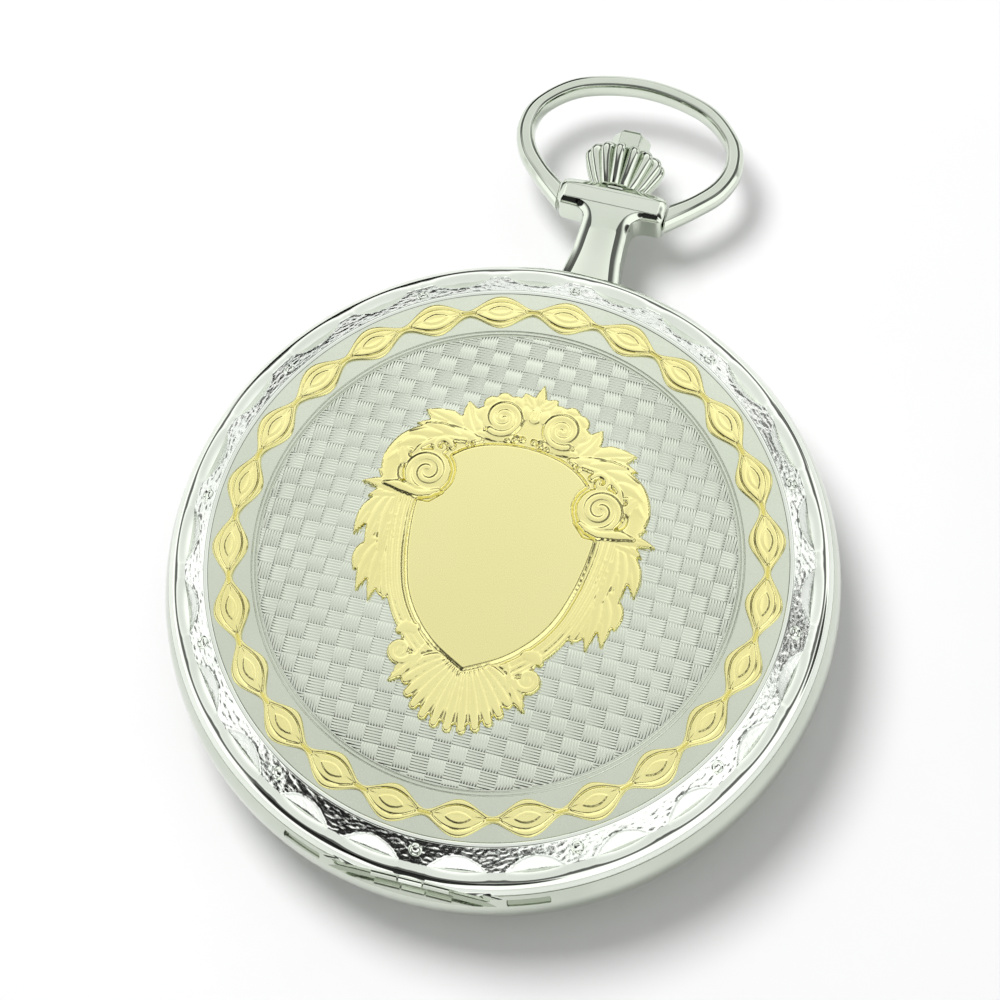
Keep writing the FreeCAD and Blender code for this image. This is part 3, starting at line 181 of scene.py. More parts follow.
def piece(name, verts, faces, body, materials, face_material=None, sharp=35, replaces=(), closed=True,
          merge=False):
    """A mesh piece from points in millimetres, riding on a CAD body."""
    mesh = bpy.data.meshes.new(name)
    mesh.from_pydata((np.asarray(verts, float) * MM).tolist(), [], [list(map(int, f)) for f in faces])
    for material in materials:
        mesh.materials.append(material)
    if face_material is not None:
        mesh.polygons.foreach_set("material_index", np.asarray(face_material, np.int32))
    edit = bmesh.new()
    edit.from_mesh(mesh)
    if merge:
        bmesh.ops.remove_doubles(edit, verts=edit.verts, dist=1e-7)
        bmesh.ops.dissolve_degenerate(edit, edges=edit.edges, dist=1e-8)
    if closed:
        bmesh.ops.recalc_face_normals(edit, faces=edit.faces)
    elif sum(f.normal.z for f in edit.faces) < 0:
        bmesh.ops.reverse_faces(edit, faces=edit.faces)
    edit.to_mesh(mesh)
    edit.free()
    mesh.polygons.foreach_set("use_smooth", [True] * len(mesh.polygons))
    mesh.set_sharp_from_angle(angle=math.radians(sharp))
    obj = added(name, mesh)
    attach(obj, body)
    if replaces:
        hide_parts(*replaces)
    return obj


def bevelled(obj, width, angle):
    """Rounds a piece's edges sharper than angle degrees by width millimetres."""
    bevel = obj.modifiers.new("edge", "BEVEL")
    bevel.width = width * MM
    bevel.segments = 2
    bevel.limit_method = "ANGLE"
    bevel.angle_limit = math.radians(angle)
    bevel.harden_normals = True


# ---- materials ----
class Tree:
    """A cleared node tree, with short ways to add what the looks here need."""

    def __init__(self, owner, output):
        owner.use_nodes = True
        self.owner = owner
        self.nodes, self.links = owner.node_tree.nodes, owner.node_tree.links
        self.nodes.clear()
        self.end = self.node(output).inputs["Surface"]

    def node(self, kind, values=None, sources=None, **settings):
        """A node with its settings, the values of its inputs, and what feeds them."""
        made = self.nodes.new("ShaderNode" + kind)
        for setting, value in settings.items():
            setattr(made, setting, value)
        for socket, value in (values or {}).items():
            made.inputs[socket].default_value = value
        for socket, source in (sources or {}).items():
            self.links.new(source, made.inputs[socket])
        return made

    def noise(self, place, scale, detail=4.0, rough=0.55):
        values = {"Scale": scale, "Detail": detail, "Roughness": rough}
        return self.node("TexNoise", values, {"Vector": place}).outputs["Fac"]

    def stretched(self, place, scale):
        return self.node("Mapping", {"Scale": scale}, {"Vector": place}).outputs["Vector"]

    def ramp(self, value, stops):
        made = self.node("ValToRGB", sources={"Fac": value})
        elements = made.color_ramp.elements
        while len(elements) < len(stops):
            elements.new(0.5)
        for element, (at, colour) in zip(elements, stops):
            element.position = at
            element.color = (*colour, 1)
        return made.outputs["Color"]

    def spread(self, value, low, high, start=0.3, end=0.7, **settings):
        """Maps start..end, which a noise mostly keeps to, to low..high."""
        values = {"From Min": start, "From Max": end, "To Min": low, "To Max": high}
        return self.node("MapRange", values, {"Value": value}, **settings).outputs["Result"]


class Skin(Tree):
    """A material with one Principled shader, given its constant inputs."""

    def __init__(self, name, values=None):
        super().__init__(bpy.data.materials.new(name), "OutputMaterial")
        self.shader = self.node("BsdfPrincipled", values)
        self.links.new(self.shader.outputs["BSDF"], self.end)
        self.place = self.node("TexCoord").outputs["Object"]

    def feed(self, socket, source):
        self.links.new(source, self.shader.inputs[socket])

    def mottled(self, scale, dark, light):
        """Base colour that drifts between two tones."""
        self.feed("Base Color", self.ramp(self.noise(self.place, scale), [(0.3, dark), (0.7, light)]))

    def uneven(self, scale, low, high):
        """Roughness that drifts from low to high."""
        self.feed("Roughness", self.spread(self.noise(self.place, scale), low, high))

    def bump(self, height, strength, distance):
        values = {"Strength": strength, "Distance": distance * MM}
        self.feed("Normal", self.node("Bump", values, {"Height": height}).outputs["Normal"])


def metal(name, colour, tarnish, roughness, drift, grain=2600.0, depth=0.0, stretch=(1, 1, 1), blotch=140.0):
    """Metal whose tone and gloss drift over the surface, with a fine grain of the given depth."""
    skin = Skin(name, {"Metallic": 1.0})
    tone = skin.noise(skin.place, blotch, 5.0)
    skin.feed("Base Color", skin.ramp(tone, [(0.35, tarnish), (0.6, colour)]))
    fine = skin.noise(skin.stretched(skin.place, stretch), grain, 6.0, 0.6)
    skin.feed("Roughness", skin.spread(fine, roughness - drift, roughness + drift))
    if depth:
        skin.bump(fine, 1.0, depth)
    return skin.owner


polished = metal("polished_case_steel", (0.70, 0.75, 0.655), (0.64, 0.695, 0.60), 0.075, 0.02)
# Case band and back: the same polished steel given a darker colour, painted shade on the case band
painted_shade_case_steel = metal("case_steel_with_painted_shade", (0.62, 0.66, 0.575), (0.565, 0.61, 0.525), 0.085, 0.02)
# Lid shell, rosettes and knuckle: the same steel given a lighter colour, a painted highlight on the rim and
# bezel
painted_light_lid_steel = metal("lid_steel_with_painted_highlight", (0.85, 0.895, 0.815), (0.79, 0.835, 0.75), 0.07, 0.02)
satin = metal("satin_lid_steel", (0.675, 0.72, 0.605), (0.64, 0.69, 0.575), 0.30, 0.05, 5200.0, 0.002)
weave = metal("engine_turned_steel", (0.68, 0.725, 0.62), (0.64, 0.685, 0.58), 0.155, 0.03, 5200.0, 0.003)
# Chamfer cuts: real bright-cut facets and grain, with a colour lighter than the case steel as painted highlight
painted_light_graven_steel = metal("bright_cut_steel_with_painted_highlight", (0.88, 0.91, 0.86), (0.76, 0.80, 0.74), 0.09, 0.04, 2300.0, 0.03)
gold = metal("pale_gold_plate", (0.93, 0.875, 0.41), (0.88, 0.82, 0.36), 0.2, 0.05, 3600.0, 0.004)
gold_plain = metal("plain_gold_shield", (0.905, 0.86, 0.42), (0.885, 0.84, 0.395), 0.27, 0.03, 5200.0, 0.001,
                   blotch=60.0)
inside_steel = metal("inner_case_steel", (0.80, 0.82, 0.77), (0.72, 0.74, 0.68), 0.2, 0.04, 1800.0, 0.006,
                     blotch=90.0)
brass = metal("gilt_wheel_brass", (0.93, 0.76, 0.42), (0.84, 0.66, 0.34), 0.24, 0.05, 3200.0, 0.006)
hard_steel = metal("hardened_steel", (0.66, 0.67, 0.68), (0.54, 0.55, 0.56), 0.17, 0.05, depth=0.005,
                   stretch=(1, 7, 1))
blued = metal("blued_steel", (0.045, 0.09, 0.42), (0.03, 0.05, 0.25), 0.16, 0.05, depth=0.003)
hand_black = metal("blackened_hand", (0.018, 0.02, 0.026), (0.012, 0.012, 0.014), 0.28, 0.05)


def striped_plate():
    """Rhodium plate with broad turned stripes and a fine grain."""
    skin = Skin("striped_movement_plate", {"Metallic": 1.0})
    flat = skin.stretched(skin.place, (1, 1, 0))
    stripes = skin.node("TexWave", {"Scale": 130.0, "Distortion": 0.0}, {"Vector": flat},
                        bands_direction="DIAGONAL").outputs["Fac"]
    skin.feed("Base Color", skin.ramp(stripes, [(0.1, (0.70, 0.70, 0.68)), (0.9, (0.86, 0.86, 0.84))]))
    skin.feed("Roughness", skin.spread(skin.noise(skin.place, 2400.0, 5.0), 0.2, 0.32))
    skin.bump(stripes, 0.6, 0.05)
    return skin.owner


def synthetic_ruby():
    skin = Skin("synthetic_ruby", {"Roughness": 0.05, "IOR": 1.76, "Coat Weight": 0.4})
    skin.mottled(1500.0, (0.36, 0.006, 0.04), (0.62, 0.02, 0.09))
    return skin.owner


def white_enamel():
    """White enamel, very slightly warm and uneven."""
    skin = Skin("white_enamel", {"IOR": 1.5, "Coat Weight": 0.5})
    skin.mottled(220.0, (0.84, 0.835, 0.80), (0.88, 0.875, 0.85))
    skin.uneven(900.0, 0.1, 0.2)
    return skin.owner


def dial_ink():
    skin = Skin("printed_black")
    skin.mottled(3000.0, (0.010, 0.010, 0.012), (0.028, 0.027, 0.030))
    skin.uneven(1800.0, 0.3, 0.45)
    return skin.owner


def domed_crystal():
    skin = Skin("domed_crystal", {"Transmission Weight": 1.0, "IOR": 1.49})
    skin.mottled(60.0, (0.985, 0.99, 0.985), (1, 1, 1))
    skin.uneven(500.0, 0.0, 0.015)
    return skin.owner


plate, ruby, white, ink, crystal = striped_plate(), synthetic_ruby(), white_enamel(), dial_ink(), domed_crystal()

CAD_FINISH = {
    # the case band and back take the darker steel, painted shade
    painted_shade_case_steel: ["case_middle", "back_cover"],
    polished: ["pendant", "bow", "crown", "lid_button", "front_lid", "crystal_bezel"],
    inside_steel: ["movement_ring", "release_collar", "push_rod", "cross_pin", "hinge_pin"],
    plate: ["mainplate", "barrel_bridge", "train_bridge", "balance_cock", "pallet_bridge"],
    brass: ["barrel", "barrel_cover", "centre_wheel", "third_wheel", "fourth_wheel", "minute_wheel",
            "hour_wheel", "setting_wheel", "balance_wheel", "hairspring"],
    hard_steel: ["lock_spring", "lift_spring", "winding_stem", "winding_pinion", "clutch", "setting_lever",
                 "yoke", "barrel_arbor", "mainspring", "ratchet_wheel", "crown_wheel", "contrate_wheel",
                 "click", "click_spring", "cannon_pinion", "escape_wheel", "pallet_fork", "balance_staff",
                 "roller", "regulator"],
    blued: ["bridge_screws", "case_screws", "ratchet_screw", "crown_wheel_screw", "spring_screws"],
    ruby: ["jewels", "pallet_stones"],
    white: ["dial"],
    hand_black: ["hour_hand", "minute_hand", "seconds_hand"],
    crystal: ["crystal"],
}
for finish, names in CAD_FINISH.items():
    for node_name in names:
        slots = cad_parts[node_name].data.materials
        slots.clear()
        slots.append(finish)


# ---- front lid ----
SCALLOP_AT = 8.0           # degrees to each side of a small circle
SCALLOP_HALF = 2.15
SCALLOP_DEEP = 0.92
CIRCLES = 12
CIRCLE_STEP = 360.0 / CIRCLES
CIRCLE_AT_R = 22.2


def hinge_cleared(v):
    """Presses lid vertices back to the hinge flat and out of the round knuckle channel."""
    flat = (v[..., 1] < HINGE_FLAT_Y) & (np.abs(v[..., 0]) < HINGE_FLAT_HALF)
    v[..., 1] = np.where(flat, HINGE_FLAT_Y, v[..., 1])
    dy, dz = v[..., 1] - HINGE_Y, v[..., 2] - HINGE_Z
    reach = np.hypot(dy, dz)
    hit = (reach < CHANNEL_ROOM) & (np.abs(v[..., 0]) < CHANNEL_HALF)
    grow = np.where(hit, CHANNEL_ROOM / np.maximum(reach, 1e-6), 1.0)
    v[..., 1] = HINGE_Y + dy * grow
    v[..., 2] = HINGE_Z + dz * grow
    past = hit & (v[..., 1] < HINGE_FLAT_Y)
    corner_z = HINGE_Z + math.sqrt(CHANNEL_ROOM ** 2 - (HINGE_Y - HINGE_FLAT_Y) ** 2)
    v[..., 1] = np.where(past, HINGE_FLAT_Y, v[..., 1])
    v[..., 2] = np.where(past, corner_z, v[..., 2])
    return v


def chamfer_relief(angle, radius):
    """How far the bright-cut scallops and the stipple between them stand off the plain chamfer."""
    turn = np.degrees(angle) - 90.0
    relief = np.zeros(np.broadcast(angle, radius).shape)
    for side in (-1, 1):
        off = (turn - side * SCALLOP_AT + CIRCLE_STEP / 2) % CIRCLE_STEP - CIRCLE_STEP / 2
        s = np.radians(off) * radius
        edge = CHAMFER_R[1] - SCALLOP_DEEP * (1 - (s / SCALLOP_HALF) ** 2)
        into = radius - edge
        inside = (np.abs(s) < SCALLOP_HALF) & (into > 0)
        relief = np.where(inside, -0.03 - 0.26 * into, relief)
        lip = 0.035 * np.exp(-((into + 0.05) / 0.07) ** 2)
        relief += np.where(np.abs(s) < SCALLOP_HALF + 0.2, lip, 0)
    speckle = np.random.RandomState(11).normal(size=relief.shape)
    speckle = (speckle + np.roll(speckle, 1, 1) + np.roll(speckle, 1, 0)) / 3
    fade = np.where(relief < -0.02, 0.1, 1.0) * smooth_step(radius, CHAMFER_R[0], CHAMFER_R[0] + 0.15)
    return relief + 0.022 * speckle * fade


def build_lid_shell():
    """The lid's shell with its ridge, cut chamfer, rounded bezel and inside."""
    cols, steps = 1080, 22
    angle = ring_angles(cols)[None, :]
    hidden = 0.16          # the dome lies this far under the weave and the satin band
    top = [(0.0, LID_TOP - hidden)] + [(r, float(dome_z(r, hidden))) for r in (7.0, 14.0, 21.0)]
    ridge = [(RIDGE_R + 0.2 * x, RIDGE_Z - 0.01 + 0.075 * math.sqrt(max(0, 1 - x * x)))
             for x in np.linspace(-1, 1, 9)]
    c0, c1 = CHAMFER_R
    chamfer = [(c0 + (c1 - c0) * k / steps, CREST_Z + (FOOT_Z - CREST_Z) * k / steps) for k in range(steps + 1)]
    low = SEAM_Z + 0.05
    bezel = arc3((c1, FOOT_Z), (24.15, FOOT_Z - 0.45), (RIM_R, low), 14)[1:]
    under = [(r, low) for r in (24.2, 24.05, 23.9, 23.75, 23.6, 23.5)]
    inner = [(23.5, low + 0.3), (23.5, low + 0.55), (23.0, FOOT_Z - 0.46), (22.6, FOOT_Z - 0.42)]
    inner += [(r, float(dome_z(r, LID_WALL))) for r in (20.9, 15.0, 8.0)] + [(0.0, LID_TOP - LID_WALL)]
    profile = top + ridge + chamfer + bezel + under + inner
    v = turned(profile, cols)
    first = len(top) + len(ridge)
    band = slice(first, first + len(chamfer))
    relief = chamfer_relief(angle, np.array(profile)[band, 0][:, None])
    relief[0] = 0
    v[band, :, 2] += relief * math.cos(CHAMFER_SLOPE)
    outwards = relief * math.sin(CHAMFER_SLOPE)
    v[band, :, 0] += outwards * np.cos(angle)
    v[band, :, 1] += outwards * np.sin(angle)
    for k, fade in enumerate((0.72, 0.42, 0.18, 0.04)):       # the scallops run out over the first of the bezel
        row, rest = first + len(chamfer) + k, relief[-1] * fade
        v[row, :, 2] += rest * 0.7
        v[row, :, 0] += rest * 0.5 * np.cos(angle[0])
        v[row, :, 1] += rest * 0.5 * np.sin(angle[0])
    v = hinge_cleared(v)
    rows = len(profile)
    faces = grid_faces(rows, cols, wrap=True)
    row_of = np.repeat(np.arange(rows - 1), cols)
    # outside faces take the lighter steel with painted highlight, the chamfer the cut steel with painted
    # highlight, the inside the inner steel
    finish = np.zeros(len(faces), int)
    finish[(row_of >= first) & (row_of < first + len(chamfer) - 1)] = 1
    finish[row_of >= rows - len(inner) - 1] = 2
    piece("lid_shell", v.reshape(-1, 3), faces, "front_lid", [painted_light_lid_steel, painted_light_graven_steel, inside_steel],
          finish, sharp=38, replaces=["front_lid"], merge=True)


def build_lid_rosettes():
    """Twelve small punched circles on the chamfer."""
    share = (CIRCLE_AT_R - CHAMFER_R[0]) / (CHAMFER_R[1] - CHAMFER_R[0])
    at_z = CREST_Z - share * (CREST_Z - FOOT_Z) + 0.01
    profile = [(0.0, 0.05), (0.14, 0.04), (0.24, 0.0), (0.29, -0.03), (0.33, 0.03), (0.38, 0.085), (0.42, 0.09),
               (0.47, 0.06), (0.51, -0.01), (0.52, -0.1)]
    cols, verts, faces = 28, [], []
    lift = np.array([0, 0, 1.0])
    for k in range(CIRCLES):
        turn = math.radians(90 + CIRCLE_STEP * k)
        outward = np.array([math.cos(turn), math.sin(turn), 0])
        around = np.array([-math.sin(turn), math.cos(turn), 0])
        downhill = outward * math.cos(CHAMFER_SLOPE) - lift * math.sin(CHAMFER_SLOPE)
        normal = outward * math.sin(CHAMFER_SLOPE) + lift * math.cos(CHAMFER_SLOPE)
        centre = outward * CIRCLE_AT_R + lift * at_z
        for r, h in profile:
            for a in ring_angles(cols):
                verts.append(centre + r * (math.cos(a) * downhill + math.sin(a) * around) + h * normal)
        faces.append(grid_faces(len(profile), cols, wrap=True, offset=k * len(profile) * cols))
    piece("lid_rosettes", verts, np.vstack(faces), "front_lid", [painted_light_lid_steel], closed=False, merge=True)


TILE = 1.26
LINES = 6                  # cut lines across one square
LINE_HEIGHT = 0.0165
LINE_END = 0.04            # length over which a line sinks to the ground at each end
GROUND_DROP = 0.015


def build_lid_weave():
    """Engine-turned squares with their lines laid alternately across and along."""
    rings = [(r, float(dome_z(r, GROUND_DROP))) for r in (4, 8, 12, 15, 17, WEAVE_R)]
    ground = turned([(0.0, LID_TOP - GROUND_DROP)] + rings, 240)
    verts = [ground.reshape(-1, 3)]
    faces = [grid_faces(*ground.shape[:2], wrap=True)]
    count = len(verts[0])
    phase = np.linspace(0, LINES, LINES * 6 + 1)
    wave = LINE_HEIGHT * np.cos(2 * math.pi * (phase - 0.5))
    reach = int(WEAVE_R / TILE) + 1
    for i in range(-reach, reach + 1):
        for j in range(-reach, reach + 1):
            x0, y0 = (i - 0.5) * TILE, (j - 0.5) * TILE
            across = (i + j) % 2 == 0
            p0, q0 = (y0, x0) if across else (x0, y0)
            p = p0 + TILE * phase / LINES
            limit = np.sqrt(np.maximum(0, (WEAVE_R - 0.03) ** 2 - p ** 2))
            q_low, q_high = np.maximum(q0, -limit), np.minimum(q0 + TILE, limit)
            keep = (q_high - q_low > 0.05) & (np.abs(p) < WEAVE_R)
            if keep.sum() < 3:
                continue
            p, q_low, q_high = p[keep], q_low[keep], q_high[keep]
            q = np.stack([q_low, q_low + LINE_END, q_high - LINE_END, q_high], 1)
            p = np.repeat(p[:, None], 4, 1)
            h = np.repeat(wave[keep][:, None], 4, 1)
            h[:, [0, 3]] = -GROUND_DROP
            xy = (q, p) if across else (p, q)
            verts.append(np.stack([*xy, dome_z(np.hypot(*xy)) + h], -1).reshape(-1, 3))
            quads = grid_faces(len(p), 4, offset=count)
            faces.append(quads if across else quads[:, ::-1])
            count += len(p) * 4
    piece("lid_weave", np.vstack(verts), np.vstack(faces), "front_lid", [weave], sharp=50,
          closed=False)


GROOVES_R = (17.64, 17.92)
GROOVE_DEPTH = 0.05
GROOVE_HALF = 0.045


def build_lid_band():
    """Satin band between the fine double groove and the ridge."""
    radii = np.concatenate([[WEAVE_R - 0.02], np.linspace(WEAVE_R, 18.08, 34),
                            np.linspace(18.2, BAND_OUTER_R, 16), [BAND_OUTER_R + 0.02]])
    cut = sum(np.exp(-((radii - r) / GROOVE_HALF) ** 2) for r in GROOVES_R)
    heights = dome_z(radii) - GROOVE_DEPTH * cut + 0.006
    heights[[0, -1]] -= 0.1
    cols = 480
    v = turned(np.stack([radii, heights], 1), cols)
    piece("lid_band", v.reshape(-1, 3), grid_faces(len(radii), cols, wrap=True), "front_lid",
          [satin], sharp=60, closed=False)


CHAIN_R = 19.6
CHAIN_LINKS = 25
CHAIN_HALF = 1.39          # half width at the middle of a link
CHAIN_NECK = 0.24          # and where two links meet


def build_lid_chain():
    """Gold chain of pointed ovals, each with an oval border and a small oval heart standing up in it."""
    per, across = 48, 33
    cols = CHAIN_LINKS * per
    s = (np.arange(cols) % per) / per * 2 - 1          # -1 and 1 at a crossing, 0 at mid link
    turn = 2 * math.pi * ((np.arange(cols) + per / 2) / per - 1) / CHAIN_LINKS + math.pi / 2
    half = CHAIN_NECK + (CHAIN_HALF - CHAIN_NECK) * (0.5 + 0.5 * np.cos(math.pi * s)) ** 0.82
    v_cross = np.linspace(-1, 1, across)
    v_cross = np.sign(v_cross) * np.abs(v_cross) ** 0.9
    off = v_cross[:, None] * half[None, :]
    ss = np.broadcast_to(s, off.shape)

    def oval(length, width, point):
        """Positive inside a pointed oval, 0 on its edge."""
        t = np.clip(1 - np.abs(ss) / length, 0, 1)
        return width * np.sin(0.5 * math.pi * t) ** point - np.abs(off)

    border = oval(0.80, 0.86, 0.85)
    heart = oval(0.40, 0.42, 0.75)
    height = 0.15 + 0.05 * np.clip(1 - np.abs(v_cross[:, None]) ** 6, 0, 1)
    height = height + 0.055 * smooth_step(border, -0.02, 0.1) - 0.05 * np.exp(-((border + 0.05) / 0.06) ** 2)
    height += 0.055 * smooth_step(heart, -0.02, 0.09) - 0.04 * np.exp(-((heart + 0.04) / 0.05) ** 2)
    height -= 0.03 * smooth_step(heart, 0.12, 0.3)
    height[[1, -2]] -= 0.035
    height[[0, -1]] = -0.05
    radius = CHAIN_R + off
    v = np.stack([radius * np.cos(turn), radius * np.sin(turn), dome_z(radius) + height], -1)
    piece("lid_chain", v.reshape(-1, 3), grid_faces(across, cols, wrap=True), "front_lid", [gold],
          sharp=60, closed=False)


# The cartouche is drawn for its right half: lines through points, with a width along each.
SHIELD_HALF = spline([(0, 8.55), (1.6, 8.4), (3.3, 7.95), (4.8, 7.05), (6.0, 5.6), (6.75, 3.9), (6.9, 2.2),
                      (6.75, 0.2), (6.35, -2.0), (5.6, -4.3), (4.4, -6.2), (2.6, -7.9), (0, -9.35)], 8)
SHIELD_WIDEST = 44         # point of that line from which the mouldings run down to the tip
VOLUTE = (6.5, 4.9)


def strokes():
    """(line, widths along it, lift of its foot, height of its crown, vein) from the lowest to the highest."""
    made = []

    def add(points, widths, foot, crown, vein=0.0):
        line = np.array(points, float) if len(points) > 14 else spline(points, 6)
        along, stops = np.linspace(0, 1, len(line)), np.linspace(0, 1, len(widths))
        made.append((line, np.interp(along, stops, widths), foot, crown, vein))

    # ground that ties the ornament together
    add([(1.0, 9.6), (3.2, 8.9), (5.4, 7.9), (7.4, 6.4)], (1.0, 1.1, 1.3, 1.3), 0.02, 0.02)
    add([(7.7, 2.4), (7.9, -0.5), (7.6, -3.0), (7.0, -4.4)], (1.0, 1.2, 1.1, 0.8), 0.05, 0.02)
    add([(4.2, -7.6), (2.2, -9.4), (0, -10.4)], (0.8, 1.8, 2.3), 0.04, 0.02)
    add([(7.9, 5.9), (8.35, 5.2), (8.3, 4.4)], (0.7, 0.75, 0.6), 0.05, 0.02)
    add([(0.0, 9.0), (0.0, 9.9)], (0.9, 0.9), 0.05, 0.02)
    # garland: two clusters of hanging leaves, the lower one first
    lower_tips = ((9.75, -3.6), (9.15, -5.1), (8.1, -5.6), (7.05, -5.3))
    upper_tips = ((10.5, -0.9), (9.45, -1.75), (8.4, -1.8))
    for tips, root, foot in ((lower_tips, (8.35, -1.2), 0.06), (upper_tips, (8.6, 2.5), 0.11)):
        for k, tip in enumerate(tips):
            start = (root[0] + 0.45 - 0.42 * k, root[1])
            mid = ((start[0] + tip[0]) / 2 + 0.24 - 0.1 * k, (start[1] + tip[1]) / 2)
            add([start, mid, tip], (0.34, 0.6, 0.68, 0.56, 0.34, 0.08), foot, 0.085, 0.035)
    # side frond
    for tip, mid in (((10.3, 2.15), (9.2, 2.7)), ((10.1, 4.35), (9.1, 3.75)), ((11.0, 3.2), (9.6, 3.3))):
        add([(7.9, 3.1), mid, tip], (0.35, 0.55, 0.5, 0.3, 0.05), 0.1, 0.1, 0.03)
    # mouldings along the shield
    lower = SHIELD_HALF[SHIELD_WIDEST:]
    outward = np.gradient(lower, axis=0)
    outward = np.stack([-outward[:, 1], outward[:, 0]], 1)
    outward /= np.linalg.norm(outward, axis=1)[:, None]
    if outward[0, 0] < 0:
        outward = -outward
    for shift, width in ((1.2, 0.2), (0.78, 0.2), (0.36, 0.22)):
        made.append((lower + outward * shift, np.full(len(lower), width), 0.07, 0.1, 0.0))
    # shell under the point: a filled fan with round-ended ribs
    hub = np.array([0.0, -7.35])
    fan = []
    for k in range(7):
        turn = math.radians(-90 + 9.6 * k)
        fan.append((np.array([math.cos(turn), math.sin(turn)]), 6.1 - 0.04 * k * k))
    for away, length in fan:
        add([hub + away * 1.5, hub + away * (length - 0.75)], (0.5, 0.6), 0.05, 0.02)
    for away, length in fan[::-1]:
        bend = np.array([0.12 * away[0], 0.0])
        add([hub + away * 1.9, hub + away * (length * 0.6) + bend, hub + away * length],
            (0.12, 0.26, 0.36, 0.42, 0.36), 0.08, 0.12)
    for k in range(3):
        add([(3.0 + 0.25 * k, -7.9 - 0.5 * k), (3.7 + 0.2 * k, -9.3 - 0.42 * k),
             (4.7 + 0.12 * k, -10.1 - 0.45 * k)], (0.12, 0.28, 0.32, 0.16), 0.1 + 0.01 * k, 0.11)
    add(curl(4.75, -8.75, 0.92, 0.16, 200, 1.4), (0.3, 0.3, 0.26, 0.22), 0.12, 0.13)
    add([(4.75, -8.8), (4.78, -8.7)], (0.3, 0.3), 0.14, 0.1)
    add([(4.2, -7.0), (4.8, -6.95), (5.25, -7.3)], (0.42, 0.5, 0.3), 0.1, 0.1)
    # leaves behind the crest
    add([(4.0, 8.4), (6.1, 9.2), (7.95, 9.75)], (0.3, 0.85, 0.95, 0.6, 0.08), 0.08, 0.1, 0.06)
    add([(5.6, 8.3), (6.9, 8.7), (8.35, 8.55)], (0.3, 0.5, 0.4, 0.06), 0.07, 0.1, 0.05)
    add([(3.7, 8.5), (4.5, 9.8), (5.05, 11.1)], (0.3, 0.7, 0.75, 0.5, 0.08), 0.1, 0.1, 0.06)
    add([(0.0, 10.8), (0.0, 12.2), (0.0, 13.65)], (0.45, 0.6, 0.55, 0.35, 0.05), 0.1, 0.1, 0.06)
    add([(0.3, 11.6), (0.8, 12.1), (1.25, 12.7)], (0.16, 0.5, 0.55, 0.34, 0.05), 0.08, 0.08, 0.04)
    # C-scroll and its inner curls
    add([(3.5, 8.2), (5.2, 8.35), (7.1, 8.0), (8.6, 6.9), (9.3, 5.4), (9.1, 4.0), (8.0, 3.1)],
        (0.3, 0.55, 0.75, 0.85, 0.8, 0.6, 0.3), 0.13, 0.12)
    add([(4.4, 7.9), (6.0, 7.7), (7.3, 6.9), (8.0, 5.9)], (0.12, 0.26, 0.26, 0.1), 0.2, 0.09)
    add(curl(6.0, 7.0, 0.75, 0.15, 160, -1.1), (0.26, 0.24, 0.2), 0.2, 0.09)
    for vein_line in ([(5.0, 8.2), (6.3, 8.5), (7.6, 8.6)], [(6.3, 8.0), (7.5, 7.9), (8.6, 7.6)],
                      [(7.4, 7.3), (8.4, 7.0), (9.3, 6.4)], [(8.1, 6.3), (8.9, 5.9), (9.65, 5.2)]):
        add(vein_line, (0.14, 0.34, 0.36, 0.22, 0.06), 0.22, 0.07)
    add([(8.9, 6.4), (8.5, 5.6), (8.55, 4.9)], (0.12, 0.36, 0.38, 0.22, 0.04), 0.2, 0.07)
    # roses
    add([(0.95, 8.9), (2.2, 8.62), (3.6, 8.75)], (0.3, 0.3, 0.3), 0.1, 0.08)
    for degrees in (150, 115, 78, 40, 0):
        away = np.array([math.cos(math.radians(degrees)), math.sin(math.radians(degrees))])
        petal = np.array([2.25, 10.35]) + 1.35 * away
        add([petal, petal + 0.12 * away], (0.72, 0.66), 0.1, 0.09)
    add([(2.25, 10.33), (2.3, 10.35)], (1.5, 1.5), 0.15, 0.05)
    add(curl(2.25, 10.33, 1.4, 0.12, 300, -2.3, 70), (0.28, 0.27, 0.24, 0.2), 0.2, 0.1)
    for x, y, r in ((0.42, 8.95, 0.2), (0.95, 8.72, 0.2), (1.5, 8.6, 0.17), (3.7, 7.95, 0.2),
                    (4.15, 7.7, 0.17)):
        add([(x, y), (x + 0.02, y)], (r, r), 0.2, 0.12)
    # large volutes lapping over the shield
    add([VOLUTE, (VOLUTE[0] + 0.05, VOLUTE[1])], (1.75, 1.75), 0.24, 0.04)
    add(curl(6.5, 4.85, 1.72, 0.3, 250, 1.55, 60), (0.3, 0.3, 0.27, 0.22), 0.27, 0.11)
    add([(5.3, 3.55), (6.6, 3.05), (8.3, 3.35), (9.4, 3.3)], (0.2, 0.32, 0.4, 0.1), 0.24, 0.1)
    return made


def open_edges(quads):
    """The edges, in face order, that only one quad has."""
    edges = {}
    for quad in quads:
        for k in range(4):
            a, b = int(quad[k]), int(quad[(k + 1) % 4])
            if (b, a) in edges:
                del edges[(b, a)]
            else:
                edges[(a, b)] = True
    return edges


